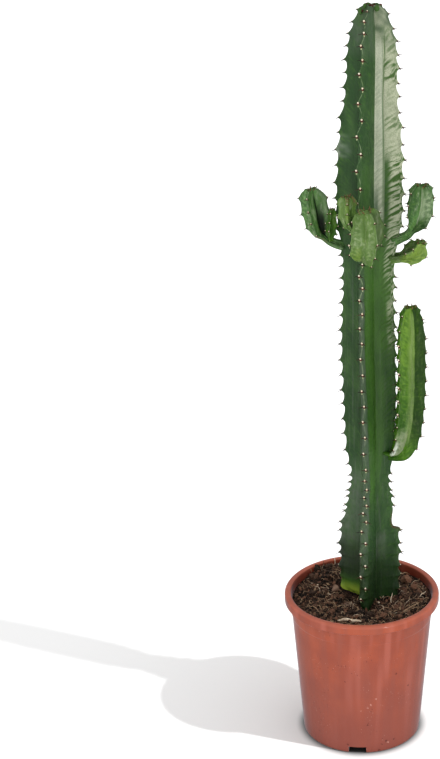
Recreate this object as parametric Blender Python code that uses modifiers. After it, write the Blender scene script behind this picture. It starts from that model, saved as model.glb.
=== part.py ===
"""Potted candelabra euphorbia: a four-ribbed column with seven young arms, in a nursery pot of soil.

Metres, +Z up, the front towards -Y. The origin is under the middle of the pot, on the surface it stands on.
Angles that say which way a rib points are measured from the front, and grow towards +X.
"""

import math
from dataclasses import dataclass, replace

import bmesh
import bpy
import numpy as np
from mathutils import Matrix, Vector, noise

COLLECTION_NAME = "potted_candelabra_euphorbia"
CUTTER_COLLECTION_NAME = "cutters"
CLEARANCE = 0.0003
HOLE_CLEARANCE = 0.0006
HOLE_DROP = 0.0040

# Pot
POT_HEIGHT = 0.169
POT_SIDES = 44
RIM_RADIUS = 0.085
RIM_BAND = 0.0100
RIM_SKIN = 0.0014
LIP_RADIUS = 0.0033
LIP_INNER_RADIUS = 0.0778
LIP_INNER_ROUNDING = 0.0024
WALL = 0.0017
BASE_RADIUS = 0.0652
WALL_SLOPE = 0.0816
WALL_TOP = 0.1600
SHOULDER_HEIGHT = 0.1425
SHOULDER_HALF = 0.0012
SHOULDER_STEP = 0.0006
BASE_ROUNDING = 0.0020
FOOT_WIDTH = 0.0060
FOOT_RECESS = 0.0025
FLOOR_TOP = 0.0055
FLOOR_CORNER = 0.0030
UNDER_RIM = 0.0030
NOTCH_COUNT = 4
NOTCH_WIDTH = 0.0195
NOTCH_HEIGHT = 0.0080
NOTCH_DEPTH = 0.0160
NOTCH_BELOW = 0.0040
NOTCH_ANGLE = math.radians(-94.2)

# Soil
SOIL_GAP = 0.0005
SOIL_CORNER = 0.0040
SOIL_STEP = 0.0020
SOIL_AT_WALL = 0.1590
SOIL_AT_STEM = 0.1530
SOIL_RING_RADII = (0.017, 0.028, 0.040, 0.052, 0.064)
SOIL_LUMPS = 0.0022
SOIL_LUMP_SIZE = 0.016
HEAP_PLACE = (-0.040, 0.062)
HEAP_HEIGHT = 0.0060
HEAP_SPREAD = 0.026

# Ribbed stems
RIBS = 4
STEM_Y = 0.018
STEM_BASE = 0.118
STEM_TOP = 0.8125
POINTS_PER_RIB = 4
SHOULDER_DROP = 1.1
WIDEST_EDGE = 0.32
DEEPEST_VALLEY = 0.62
FIRST_TOOTH = 0.45
LAST_TOOTH = 0.30
TIP_DOME = 0.0015
FOOT_DOME = 0.0008
SPINE_LENGTH = 0.0044
SPINE_SPREAD = 0.55
SPINE_DROOP = 0.20
SPINE_ROOT = (0.60, 0.20, 0.20)
SPINE_WIDTH = 0.36
TIP_LEAF_LENGTH = 0.0050
TIP_LEAF_SPREAD = 0.45
TIP_LEAF_ROOT = (0.34, 0.33, 0.33)
TIP_LEAF_WIDTH = 0.75


@dataclass
class Stem:
    """A ribbed stem. Each profile is a list of (distance from the stem's base, value)."""

    name: str
    path: list
    crest: list
    core: list
    edge: list
    pitch: list
    facing: list
    phases: list
    rings: tuple
    tooth: float
    colour: tuple
    tip_leaves: int = 0
    bare: tuple = ()
    feet: tuple = ()
    wounds: tuple = ()
    teeth_from: float = 0.008


def smooth_value(profile, at):
    """The value of a profile there, on a curve that runs through its points without overshooting."""
    if at <= profile[0][0]:
        return profile[0][1]
    if at >= profile[-1][0]:
        return profile[-1][1]
    slopes = [(b[1] - a[1]) / (b[0] - a[0]) for a, b in zip(profile, profile[1:])]
    span = next(i for i, point in enumerate(profile[1:]) if at <= point[0])

    def tangent(i):
        if i in (0, len(profile) - 1) or slopes[i - 1] * slopes[i] <= 0:
            return 0.0
        return 2 * slopes[i - 1] * slopes[i] / (slopes[i - 1] + slopes[i])

    (start, first), (end, last) = profile[span], profile[span + 1]
    width = end - start
    t = (at - start) / width
    return (
        (2 * t**3 - 3 * t**2 + 1) * first
        + (t**3 - 2 * t**2 + t) * width * tangent(span)
        + (3 * t**2 - 2 * t**3) * last
        + (t**3 - t**2) * width * tangent(span + 1)
    )


def ease(low, high, value):
    """0 below low, 1 above high, and a smooth step between."""
    t = min(max((value - low) / (high - low), 0.0), 1.0)
    return t * t * (3 - 2 * t)


class CentreLine:
    """A smooth curve through points, read by the distance from its first point."""

    SAMPLES = 16

    def __init__(self, points):
        knots = [Vector(point) for point in points]
        knots = [2 * knots[0] - knots[1], *knots, 2 * knots[-1] - knots[-2]]
        self.points = []
        for a, b, c, d in zip(knots, knots[1:], knots[2:], knots[3:]):
            for i in range(self.SAMPLES):
                t = i / self.SAMPLES
                self.points.append(
                    0.5
                    * (
                        2 * b
                        + (c - a) * t
                        + (2 * a - 5 * b + 4 * c - d) * t**2
                        + (3 * b - a - 3 * c + d) * t**3
                    )
                )
        self.points.append(knots[-2])
        steps = [(b - a).length for a, b in zip(self.points, self.points[1:])]
        self.reach = np.concatenate([[0.0], np.cumsum(steps)])
        self.length = float(self.reach[-1])

    def place(self, distance):
        return Vector([float(np.interp(distance, self.reach, axis)) for axis in zip(*self.points)])

    def direction(self, distance):
        step = 0.002
        ahead = self.place(min(distance + step, self.length))
        behind = self.place(max(distance - step, 0.0))
        return (ahead - behind).normalized()


def tooth_distances(stem, length, rib):
    """The distance from the base of each ring on this rib, from the tip down, and which rings are teeth."""
    distances = np.linspace(0.0, length, 1500)
    pitches = np.interp(distances, *zip(*stem.pitch))
    steps = np.diff(distances) / pitches[:-1]
    counts = np.concatenate([[0.0], np.cumsum(steps)])
    counts = counts[-1] - counts
    fade = np.clip(np.minimum(counts, counts[0] - counts) / 1.5, 0.0, 1.0)
    phases = np.interp(distances, *zip(*stem.phases[rib]))
    own = counts - phases * fade
    whole = int(counts[0])
    found = []
    for number in range(whole):
        for i, share in enumerate(stem.rings):
            wanted = number + FIRST_TOOTH + share
            if wanted < counts[0] - LAST_TOOTH:
                found.append((float(np.interp(-wanted, -own, distances)), i == 0))
    return found


def rib_directions(stem, line, distance):
    """For each rib the way it points, and the way across it, square to the stem."""
    lean = Vector((0, 0, 1)).rotation_difference(line.direction(distance))
    turn = np.interp(distance, *zip(*stem.facing))
    found = []
    for rib in range(RIBS):
        angle = turn + rib * math.tau / RIBS
        out = lean @ Vector((math.sin(angle), -math.cos(angle), 0))
        across = lean @ Vector((math.cos(angle), math.sin(angle), 0))
        found.append((out, across))
    return found


def rib_reach(stem, rib, distance):
    """How far a rib's crest stands out from the middle of the stem."""
    crest = smooth_value(stem.crest, distance)
    for which, low, high, depth in stem.wounds:
        if which == rib and low < distance < high:
            crest -= depth * (high - distance) / (high - low)
    if not stem.feet:
        return crest
    stump, ends = stem.feet
    low, high = ends[rib]
    return stump + (crest - stump) * ease(low, high, distance)


def is_bare(stem, rib, distance):
    """Whether a tooth there would be under the soil or where an arm grows."""
    if distance < stem.teeth_from:
        return True
    return any(which == rib and low < distance < high for which, low, high in stem.bare)


def stem_rings(stem, clearance=0.0):
    """The points of each ring, from the tip down, and the places and directions of the teeth."""
    line = CentreLine(stem.path)
    own = [tooth_distances(stem, line.length, rib) for rib in range(RIBS)]
    count = min(len(rows) for rows in own)
    top = [(line.length, False)] * RIBS
    bottom = [(0.0, False)] * RIBS
    stations = [top, *[[rows[i] for rows in own] for i in range(count)], bottom]
    rings, teeth = [], {}
    for number, station in enumerate(stations):
        ring = []
        for rib, (distance, toothed) in enumerate(station):
            out, across = rib_directions(stem, line, distance)[rib]
            centre = line.place(distance)
            reach = rib_reach(stem, rib, distance)
            edge = min(smooth_value(stem.edge, distance), WIDEST_EDGE * reach)
            shoulder = centre + out * (reach - SHOULDER_DROP * edge + clearance)
            if toothed and not is_bare(stem, rib, distance):
                teeth[number, rib] = (out, across, line.direction(distance))
                reach += stem.tooth
            between = 0.5 * (distance + station[(rib + 1) % RIBS][0])
            sides = rib_directions(stem, line, between)
            valley = (sides[rib][0] + sides[(rib + 1) % RIBS][0]).normalized()
            depth = min(smooth_value(stem.core, between), DEEPEST_VALLEY * reach) + clearance
            ring += [
                shoulder - across * (edge + clearance),
                centre + out * (reach + clearance),
                shoulder + across * (edge + clearance),
                line.place(between) + valley * depth,
            ]
        rings.append(ring)
    return rings, teeth, line


def raise_spike(bm, face, root_weights, width, apex):
    """Replaces a triangle by a three-sided spike that stands on part of it."""
    corners = list(face.verts)
    root = sum((corner.co * weight for corner, weight in zip(corners, root_weights)), Vector())
    feet = [bm.verts.new(root + (corner.co - root) * width) for corner in corners]
    point = bm.verts.new(root + apex)
    bm.faces.remove(face)
    for i, corner in enumerate(corners):
        j = (i + 1) % 3
        bm.faces.new((corner, corners[j], feet[j]))
        bm.faces.new((corner, feet[j], feet[i]))
        bm.faces.new((feet[i], feet[j], point))


def ribbed_mesh(stem, clearance=0.0):
    """The stem's flesh: rings joined by triangles, each end closed by a fan."""
    rings, teeth, line = stem_rings(stem, clearance)
    bm = bmesh.new()
    rows = [[bm.verts.new(point) for point in ring] for ring in rings]
    along = line.direction(line.length)
    tip = bm.verts.new(line.place(line.length) + along * (TIP_DOME + clearance))
    base = bm.verts.new(line.place(0.0) - line.direction(0.0) * (FOOT_DOME + clearance))
    sides = len(rows[0])
    beside = {}
    for number, (upper, lower) in enumerate(zip(rows, rows[1:])):
        for i in range(sides):
            j = (i + 1) % sides
            before_crest = i % POINTS_PER_RIB == 0
            if before_crest:
                faces = [(upper[j], upper[i], lower[i]), (upper[j], lower[i], lower[j])]
            else:
                faces = [(upper[i], lower[j], upper[j]), (upper[i], lower[i], lower[j])]
            made = [bm.faces.new(corners) for corners in faces]
            if i % POINTS_PER_RIB < 2:
                beside[number, i // POINTS_PER_RIB, -1 if before_crest else 1] = made[0]
    fan = []
    for i in range(sides):
        j = (i + 1) % sides
        fan.append(bm.faces.new((tip, rows[0][i], rows[0][j])))
        bm.faces.new((base, rows[-1][j], rows[-1][i]))
    if not clearance:
        for (number, rib), (out, across, up) in teeth.items():
            for hand in (-1, 1):
                way = (out + across * SPINE_SPREAD * hand - up * SPINE_DROOP).normalized()
                raise_spike(bm, beside[number, rib, hand], SPINE_ROOT, SPINE_WIDTH, way * SPINE_LENGTH)
        for number in range(stem.tip_leaves):
            face = fan[(number * sides) // stem.tip_leaves + 1]
            outward = (face.calc_center_median() - tip.co).normalized()
            way = (along + outward * TIP_LEAF_SPREAD).normalized()
            length = TIP_LEAF_LENGTH * (1 - 0.3 * (number % 2))
            raise_spike(bm, face, TIP_LEAF_ROOT, TIP_LEAF_WIDTH, way * length)
    bmesh.ops.recalc_face_normals(bm, faces=bm.faces)
    return new_object(f"clear_of_{stem.name}" if clearance else stem.name, bm)


def new_object(name, source):
    """A mesh object outside every collection, from a bmesh or a mesh."""
    mesh = source
    if isinstance(source, bmesh.types.BMesh):
        bmesh.ops.remove_doubles(source, verts=source.verts, dist=1e-6)
        mesh = bpy.data.meshes.new(name)
        source.to_mesh(mesh)
        source.free()
    return bpy.data.objects.new(name, mesh)


def apply_modifiers(obj):
    """Replaces the object's mesh by what its modifiers make of it."""
    graph = bpy.context.evaluated_depsgraph_get()
    made = bpy.data.meshes.new_from_object(obj.evaluated_get(graph))
    obj.modifiers.clear()
    obj.data = made


def cut(obj, cutter, name):
    difference = obj.modifiers.new(name, "BOOLEAN")
    difference.operation = "DIFFERENCE"
    difference.object = cutter
    return difference


def material(name, colour, roughness):
    made = bpy.data.materials.new(name)
    made.use_nodes = True
    shader = made.node_tree.nodes["Principled BSDF"]
    shader.inputs["Base Color"].default_value = (*colour, 1.0)
    shader.inputs["Roughness"].default_value = roughness
    shader.inputs["Metallic"].default_value = 0.0
    return made


def add_part(parts, obj, colour, roughness):
    parts.objects.link(obj)
    obj.data.materials.clear()
    obj.data.materials.append(material(f"{obj.name}_material", colour, roughness))


def add_cutter(cutters, obj):
    cutters.objects.link(obj)
    obj.hide_render = True
    obj.display_type = "WIRE"
    return obj


def arc(centre, radius, start, end, steps):
    """Points of an arc in the profile's plane, angles in degrees."""
    angles = [math.radians(start + (end - start) * i / steps) for i in range(steps + 1)]
    return [(centre[0] + radius * math.cos(a), centre[1] + radius * math.sin(a)) for a in angles]


def wall_radius(height):
    """The pot's outer wall, with the small step of its stacking shoulder."""
    step = SHOULDER_STEP * ease(SHOULDER_HEIGHT - SHOULDER_HALF, SHOULDER_HEIGHT + SHOULDER_HALF, height)
    return BASE_RADIUS + WALL_SLOPE * height + step


def turned(name, profile):
    """The profile, a list of (radius, height), turned about the pot's axis."""
    bm = bmesh.new()
    points = [bm.verts.new((radius, 0, height)) for radius, height in profile]
    for a, b in zip(points, points[1:]):
        bm.edges.new((a, b))
    obj = new_object(name, bm)
    screw = obj.modifiers.new("turn", "SCREW")
    screw.steps = POT_SIDES
    screw.render_steps = POT_SIDES
    screw.use_merge_vertices = True
    screw.merge_threshold = 0.00005
    return obj


def pot_profile():
    """From the middle of the floor up the inside, over the lip and down the outside."""
    under_shoulder = SHOULDER_HEIGHT - SHOULDER_HALF
    over_shoulder = SHOULDER_HEIGHT + SHOULDER_HALF
    inner = [
        (0.0, FLOOR_TOP),
        (wall_radius(FLOOR_TOP) - WALL - FLOOR_CORNER, FLOOR_TOP),
        (wall_radius(FLOOR_TOP + FLOOR_CORNER) - WALL, FLOOR_TOP + FLOOR_CORNER),
        (wall_radius(under_shoulder) - WALL, under_shoulder),
        (wall_radius(over_shoulder) - WALL, over_shoulder),
        (wall_radius(WALL_TOP) - WALL, WALL_TOP),
    ]
    lip_height = POT_HEIGHT - LIP_RADIUS
    inner_round = (LIP_INNER_RADIUS + LIP_INNER_ROUNDING, POT_HEIGHT - LIP_INNER_ROUNDING)
    inner_lip = arc(inner_round, LIP_INNER_ROUNDING, 180, 90, 2)
    outer_lip = arc((RIM_RADIUS - LIP_RADIUS, lip_height), LIP_RADIUS, 90, 0, 3)
    band_foot = POT_HEIGHT - RIM_BAND
    under_rim = POT_HEIGHT - UNDER_RIM
    band = [
        (RIM_RADIUS - 0.0001, band_foot + 0.0006),
        (RIM_RADIUS - 0.0007, band_foot),
        (RIM_RADIUS - RIM_SKIN, band_foot + 0.0002),
        (RIM_RADIUS - RIM_SKIN - 0.0008, under_rim - 0.0010),
        (wall_radius(under_rim) + 0.0012, under_rim),
    ]
    outer = [
        (wall_radius(WALL_TOP), WALL_TOP),
        (wall_radius(over_shoulder), over_shoulder),
        (wall_radius(under_shoulder), under_shoulder),
    ]
    base_middle = (wall_radius(BASE_ROUNDING) - BASE_ROUNDING, BASE_ROUNDING)
    rounding = arc(base_middle, BASE_ROUNDING, 0, -90, 2)
    foot_inside = base_middle[0] - FOOT_WIDTH
    foot = [(foot_inside, 0.0), (foot_inside - 0.001, FOOT_RECESS), (0.0, FOOT_RECESS)]
    return [*inner, *inner_lip, *outer_lip, *band, *outer, *rounding, *foot]


def make_pot(parts, cutters):
    """Nursery pot: turned wall, hollow rolled rim, foot ring, and drain notches through its bottom edge."""
    pot = turned("pot", pot_profile())
    for number in range(NOTCH_COUNT):
        angle = NOTCH_ANGLE + number * math.tau / NOTCH_COUNT
        bm = bmesh.new()
        size = Matrix.Diagonal((NOTCH_DEPTH, NOTCH_WIDTH, NOTCH_HEIGHT + NOTCH_BELOW, 1))
        bmesh.ops.create_cube(bm, size=1, matrix=size)
        notch = add_cutter(cutters, new_object(f"notch_{number}", bm))
        reach = BASE_RADIUS - 0.0015
        height = (NOTCH_HEIGHT - NOTCH_BELOW) / 2
        notch.location = (reach * math.cos(angle), reach * math.sin(angle), height)
        notch.rotation_euler.z = angle
        cut(pot, notch, f"drain {number}")
    add_part(parts, pot, (0.40, 0.105, 0.060), 0.42)
    pot.data.shade_smooth()
    pot.data.set_sharp_from_angle(angle=math.radians(40))


def soil_height(x, y, height):
    """The lumpy top of the soil, with the heap against the wall behind and to the left."""
    lump = noise.noise(Vector((x / SOIL_LUMP_SIZE, y / SOIL_LUMP_SIZE, 3.7)))
    away = math.hypot(x - HEAP_PLACE[0], y - HEAP_PLACE[1])
    heap = HEAP_HEIGHT * math.exp(-((away / HEAP_SPREAD) ** 2))
    return height + SOIL_LUMPS * lump + heap


def make_soil(parts, stem_cutter):
    """The root ball: it fills the pot, and the stem's foot stands in a hole in it."""
    gap = WALL + SOIL_GAP
    corner = FLOOR_TOP + SOIL_CORNER
    edge = wall_radius(SOIL_AT_WALL) - gap
    rise = SOIL_AT_WALL - SOIL_AT_STEM
    top = [(0.0, SOIL_AT_STEM)]
    top += [(r, SOIL_AT_STEM + rise * ease(0.015, 0.060, r)) for r in SOIL_RING_RADII]
    side = [
        (edge, SOIL_AT_WALL),
        (wall_radius(SHOULDER_HEIGHT + SOIL_STEP) - gap - CLEARANCE, SHOULDER_HEIGHT + SOIL_STEP),
        (wall_radius(SHOULDER_HEIGHT - SOIL_STEP) - gap, SHOULDER_HEIGHT - SOIL_STEP),
        (wall_radius(corner) - gap, corner),
        (wall_radius(FLOOR_TOP) - gap - SOIL_CORNER, FLOOR_TOP + CLEARANCE),
        (0.0, FLOOR_TOP + CLEARANCE),
    ]
    soil = turned("soil", [*top, *side])
    parts.objects.link(soil)
    apply_modifiers(soil)
    for vertex in soil.data.vertices:
        x, y, z = vertex.co
        if z > SOIL_AT_STEM - 0.001:
            vertex.co.z = soil_height(x, y, z)
    parts.objects.unlink(soil)
    cut(soil, stem_cutter, "hole for the stem")
    add_part(parts, soil, (0.035, 0.018, 0.010), 0.95)


def main_stem():
    """The column. Its ribs run from the blunt top down to a stump that stands in the soil."""
    path = [
        (0.0088, STEM_Y, STEM_BASE),
        (0.0088, STEM_Y, 0.200),
        (0.0092, STEM_Y, 0.300),
        (0.0088, STEM_Y, 0.380),
        (0.0070, STEM_Y, 0.450),
        (0.0070, STEM_Y, 0.540),
        (0.0082, STEM_Y, 0.650),
        (0.0091, STEM_Y, 0.710),
        (0.0102, STEM_Y, 0.760),
        (0.0104, STEM_Y, STEM_TOP),
    ]

    def from_base(rows):
        return [(height - STEM_BASE, value) for height, value in rows]

    crest = [
        (0.118, 0.0130), (0.140, 0.0302), (0.170, 0.0322), (0.215, 0.0325), (0.236, 0.0316),
        (0.255, 0.0266), (0.280, 0.0225), (0.297, 0.0201), (0.320, 0.0242), (0.350, 0.0273),
        (0.445, 0.0289), (0.520, 0.0269), (0.545, 0.0275), (0.570, 0.0316), (0.600, 0.0349),
        (0.640, 0.0346), (0.665, 0.0337), (0.700, 0.0305), (0.725, 0.0272), (0.750, 0.0269),
        (0.765, 0.0262), (0.780, 0.0238), (0.797, 0.0186), (0.808, 0.0128), (STEM_TOP, 0.0088),
    ]
    core = [
        (0.118, 0.0110), (0.150, 0.0122), (0.240, 0.0125), (0.297, 0.0100), (0.350, 0.0115),
        (0.450, 0.0115), (0.580, 0.0108), (0.700, 0.0100), (0.780, 0.0085), (STEM_TOP, 0.0040),
    ]
    edge = [(0.118, 0.0050), (0.200, 0.0042), (0.350, 0.0034), (0.600, 0.0025), (STEM_TOP, 0.0017)]
    pitch = [
        (0.118, 0.0140), (0.220, 0.0138), (0.245, 0.0120), (0.260, 0.0090), (0.290, 0.0086),
        (0.305, 0.0125), (0.325, 0.0195), (0.360, 0.0175), (0.400, 0.0166), (0.430, 0.0176),
        (0.460, 0.0162), (0.500, 0.0145), (0.530, 0.0122), (0.560, 0.0136), (0.600, 0.0168),
        (0.640, 0.0178), (0.670, 0.0170), (0.700, 0.0163), (0.730, 0.0145), (0.770, 0.0136),
        (0.790, 0.0116), (STEM_TOP, 0.0095),
    ]
    facing = [(0.118, -12), (0.400, -13), (0.500, -15), (0.620, -17), (0.750, -22), (STEM_TOP, -22)]
    front_phases = [(0.118, 1.02), (0.310, 0.94), (0.630, -0.03), (0.780, -0.22), (STEM_TOP, -0.20)]
    front = from_base(front_phases)
    right = [(0.0, 0.80), (0.40, 0.80), (0.55, 0.62), (1.0, 0.62)]
    back = [(0.0, 0.10), (1.0, 0.10)]
    left = [(0.0, 0.35), (1.0, 0.35)]
    arm_places = [(0, 0.556, 0.625), (1, 0.318, 0.360), (1, 0.541, 0.582), (3, 0.554, 0.571)]
    wound = (1, 0.2390, 0.2620)
    return Stem(
        name="main_stem",
        path=path,
        crest=from_base(crest),
        core=from_base(core),
        edge=from_base(edge),
        pitch=from_base(pitch),
        facing=[(height - STEM_BASE, math.radians(angle)) for height, angle in facing],
        phases=[front, right, back, left],
        rings=(0.0, 0.22, 0.60),
        tooth=0.0026,
        colour=(0.050, 0.135, 0.045),
        bare=tuple((rib, low - STEM_BASE, high - STEM_BASE) for rib, low, high in (*arm_places, wound)),
        feet=(0.0120, ((0.018, 0.028), (0.016, 0.026), (0.012, 0.026), (0.033, 0.046))),
        wounds=((wound[0], wound[1] - STEM_BASE, wound[2] - STEM_BASE, 0.0060),),
        teeth_from=0.155 - STEM_BASE,
    )


def arm(name, path, crest, facing, pitch=0.0135, colour=(0.070, 0.190, 0.040), **more):
    """A young side stem. It starts inside the rib that it grows from."""
    length = CentreLine(path).length
    angle = math.radians(facing)
    half = [(0.0, 0.5), (1.0, 0.5)]
    whole = [(0.0, 0.0), (1.0, 0.0)]
    widest = max(value for _, value in crest)
    return Stem(
        name=name,
        path=path,
        crest=crest,
        core=[(distance, max(0.36 * value, 0.0030)) for distance, value in crest],
        edge=[(0.0, 0.0020), (length, min(0.0019, 0.16 * widest))],
        pitch=[(0.0, pitch), (length, pitch)],
        facing=[(0.0, angle), (length, angle)],
        phases=[whole, half, whole, half],
        rings=(0.0, 0.45),
        tooth=0.0021,
        colour=colour,
        **more,
    )


def arms():
    """The seven arms: two on the left rib, two on the front rib and three on the right rib."""
    return [
        arm(
            "left_arm",
            [
                (-0.0180, 0.0250, 0.5590), (-0.0300, 0.0268, 0.5622), (-0.0395, 0.0290, 0.5690),
                (-0.0447, 0.0300, 0.5795), (-0.0480, 0.0310, 0.5950), (-0.0504, 0.0312, 0.6090),
                (-0.0518, 0.0312, 0.6185),
            ],
            [
                (0.0, 0.0062), (0.012, 0.0056), (0.022, 0.0052), (0.028, 0.0100), (0.036, 0.0132),
                (0.052, 0.0152), (0.064, 0.0150), (0.072, 0.0118), (0.0760, 0.0080),
            ],
            facing=-22,
            tip_leaves=3,
            teeth_from=0.026,
        ),
        arm(
            "left_small_arm",
            [
                (-0.0322, 0.0258, 0.5645), (-0.0322, 0.0205, 0.5700), (-0.0315, 0.0172, 0.5780),
                (-0.0306, 0.0160, 0.5890), (-0.0302, 0.0160, 0.6020),
            ],
            [(0.0, 0.0028), (0.006, 0.0030), (0.014, 0.0046), (0.026, 0.0052), (0.0372, 0.0030)],
            facing=-22,
            pitch=0.0090,
            tip_leaves=2,
            teeth_from=0.012,
        ),
        arm(
            "front_small_arm",
            [
                (-0.0010, -0.0095, 0.5850), (-0.0062, -0.0120, 0.5870), (-0.0112, -0.0140, 0.5935),
                (-0.0144, -0.0150, 0.6050), (-0.0148, -0.0154, 0.6245),
            ],
            [
                (0.0, 0.0042), (0.008, 0.0042), (0.016, 0.0060), (0.026, 0.0086), (0.042, 0.0086),
                (0.0487, 0.0052),
            ],
            facing=0,
            pitch=0.0105,
            colour=(0.085, 0.240, 0.045),
            tip_leaves=3,
            teeth_from=0.014,
        ),
        arm(
            "front_arm",
            [
                (0.0010, -0.0040, 0.5550), (0.0012, -0.0155, 0.5595), (0.0034, -0.0275, 0.5705),
                (0.0056, -0.0358, 0.5870), (0.0054, -0.0387, 0.6020), (0.0028, -0.0392, 0.6165),
            ],
            [
                (0.0, 0.0056), (0.011, 0.0058), (0.018, 0.0104), (0.030, 0.0162), (0.052, 0.0184),
                (0.072, 0.0142), (0.081, 0.0088), (0.0862, 0.0056),
            ],
            facing=-61,
            colour=(0.110, 0.290, 0.060),
            tip_leaves=4,
            teeth_from=0.018,
        ),
        arm(
            "right_arm",
            [
                (0.0330, 0.0115, 0.5690), (0.0400, 0.0088, 0.5728), (0.0468, 0.0070, 0.5768),
                (0.0520, 0.0060, 0.5838), (0.0565, 0.0052, 0.5925), (0.0595, 0.0045, 0.6055),
                (0.0608, 0.0042, 0.6190), (0.0610, 0.0040, 0.6312),
            ],
            [
                (0.0, 0.0060), (0.012, 0.0050), (0.022, 0.0050), (0.028, 0.0082), (0.035, 0.0124),
                (0.044, 0.0160), (0.055, 0.0168), (0.064, 0.0157), (0.070, 0.0128), (0.0743, 0.0090),
            ],
            facing=-45,
            tip_leaves=4,
            teeth_from=0.026,
        ),
        arm(
            "right_lower_arm",
            [
                (0.0300, 0.0120, 0.5500), (0.0413, 0.0080, 0.5525), (0.0513, 0.0045, 0.5577),
                (0.0583, 0.0000, 0.5645), (0.0606, -0.0030, 0.5727),
            ],
            [
                (0.0, 0.0060), (0.010, 0.0056), (0.019, 0.0092), (0.028, 0.0124), (0.036, 0.0105),
                (0.0426, 0.0060),
            ],
            facing=-40,
            pitch=0.0125,
            colour=(0.170, 0.320, 0.045),
            tip_leaves=3,
            teeth_from=0.014,
        ),
        arm(
            "long_right_arm",
            [
                (0.0270, 0.0140, 0.3285), (0.0360, 0.0080, 0.3305), (0.0438, 0.0010, 0.3405),
                (0.0485, -0.0040, 0.3600), (0.0510, -0.0070, 0.3845), (0.0522, -0.0085, 0.4205),
                (0.0519, -0.0085, 0.4605), (0.0514, -0.0080, 0.4880), (0.0508, -0.0076, 0.5035),
            ],
            [
                (0.0, 0.0080), (0.008, 0.0088), (0.018, 0.0120), (0.030, 0.0146), (0.050, 0.0168),
                (0.100, 0.0184), (0.150, 0.0184), (0.170, 0.0166), (0.182, 0.0128), (0.1925, 0.0076),
            ],
            facing=-42,
            pitch=0.0155,
            tip_leaves=4,
            teeth_from=0.022,
        ),
    ]


def make_stem(parts, stem, seats):
    """One stem with its teeth, spines and tip leaves, cut clear of what it grows from."""
    obj = ribbed_mesh(stem)
    for seat in seats:
        cut(obj, seat, "seat").solver = "MANIFOLD"
    add_part(parts, obj, stem.colour, 0.45)


def clear_scene():
    for obj in list(bpy.data.objects):
        bpy.data.objects.remove(obj, do_unlink=True)


def main():
    clear_scene()
    parts = bpy.data.collections.new(COLLECTION_NAME)
    cutters = bpy.data.collections.new(CUTTER_COLLECTION_NAME)
    bpy.context.scene.collection.children.link(parts)
    bpy.context.scene.collection.children.link(cutters)

    make_pot(parts, cutters)
    column = main_stem()
    stump, ends = column.feet
    lower_feet = tuple((low - HOLE_DROP, high - HOLE_DROP) for low, high in ends)
    stem_hole = ribbed_mesh(replace(column, feet=(stump, lower_feet)), HOLE_CLEARANCE)
    stem_hole.name = "stem_hole"
    make_soil(parts, add_cutter(cutters, stem_hole))
    clear_of_column = add_cutter(cutters, ribbed_mesh(column, CLEARANCE))
    make_stem(parts, column, [])
    left_arm, *others = arms()
    make_stem(parts, left_arm, [clear_of_column])
    clear_of_left_arm = add_cutter(cutters, ribbed_mesh(left_arm, CLEARANCE))
    for stem in others:
        on_left_arm = stem.name == "left_small_arm"
        make_stem(parts, stem, [clear_of_left_arm if on_left_arm else clear_of_column])


main()
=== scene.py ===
"""The looks of the potted candelabra euphorbia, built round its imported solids.

Metres, +Z up, the front towards -Y, in the solids' own frame. The tables that say so are in millimetres.
The ribbed stems repeat the formulas and sizes of the solids' source at a finer step. A place on a rib's
flank is told by `share`: 0 in the valley, 1 on the shoulder of the rib's edge and 2 on its crest. Angles
that say which way a rib points are measured from the front, and grow towards +X.
"""

import math
from dataclasses import dataclass

import bmesh
import bpy
import numpy as np
from mathutils import Matrix, Vector, noise


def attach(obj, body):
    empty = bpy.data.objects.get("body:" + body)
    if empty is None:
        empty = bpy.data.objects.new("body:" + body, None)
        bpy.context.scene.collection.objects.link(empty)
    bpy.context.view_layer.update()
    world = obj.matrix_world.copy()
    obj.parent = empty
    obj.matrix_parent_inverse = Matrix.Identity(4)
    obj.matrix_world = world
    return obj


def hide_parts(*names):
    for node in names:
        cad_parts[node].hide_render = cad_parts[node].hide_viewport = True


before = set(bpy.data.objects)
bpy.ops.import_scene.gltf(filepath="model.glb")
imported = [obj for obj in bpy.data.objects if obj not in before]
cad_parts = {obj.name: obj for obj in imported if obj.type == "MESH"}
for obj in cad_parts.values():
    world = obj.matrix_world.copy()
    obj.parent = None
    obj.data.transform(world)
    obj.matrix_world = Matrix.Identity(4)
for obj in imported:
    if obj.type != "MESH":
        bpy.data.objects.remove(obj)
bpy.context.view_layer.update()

# Pot, as in the solids
POT_HEIGHT = 0.169
RIM_RADIUS = 0.085
RIM_BAND = 0.01
RIM_SKIN = 0.0014
RIM_FOOT_ROUNDING = 0.0007
LIP_RADIUS = 0.0033
LIP_INNER_RADIUS = 0.0778
LIP_INNER_ROUNDING = 0.0024
WALL = 0.0017
BASE_RADIUS = 0.0652
WALL_SLOPE = 0.0816
WALL_TOP = 0.16
SHOULDER_LOW = 0.1413
SHOULDER_HIGH = 0.1437
SHOULDER_STEP = 0.0006
BASE_ROUNDING = 0.002
FOOT_WIDTH = 0.006
FOOT_RECESS = 0.0025
FLOOR_TOP = 0.0055
FLOOR_CORNER = 0.003
UNDER_RIM = 0.003
NOTCH_COUNT = 4
NOTCH_WIDTH = 0.0195
NOTCH_HEIGHT = 0.008
NOTCH_DEPTH = 0.016
NOTCH_REACH = 0.0637
NOTCH_ANGLE = math.radians(-94.2)
POT_SIDES = 160
SHARP_ANGLE = math.radians(38)

# Soil, as in the solids
SOIL_GAP = 0.0005
SOIL_AT_WALL = 0.159
SOIL_AT_STEM = 0.153
SOIL_DISH = (0.015, 0.06)
SOIL_LUMPS = 0.0022
SOIL_LUMP_SIZE = 0.016
HEAP_PLACE = (-0.04, 0.062)
HEAP_HEIGHT = 0.006
HEAP_SPREAD = 0.026

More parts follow.
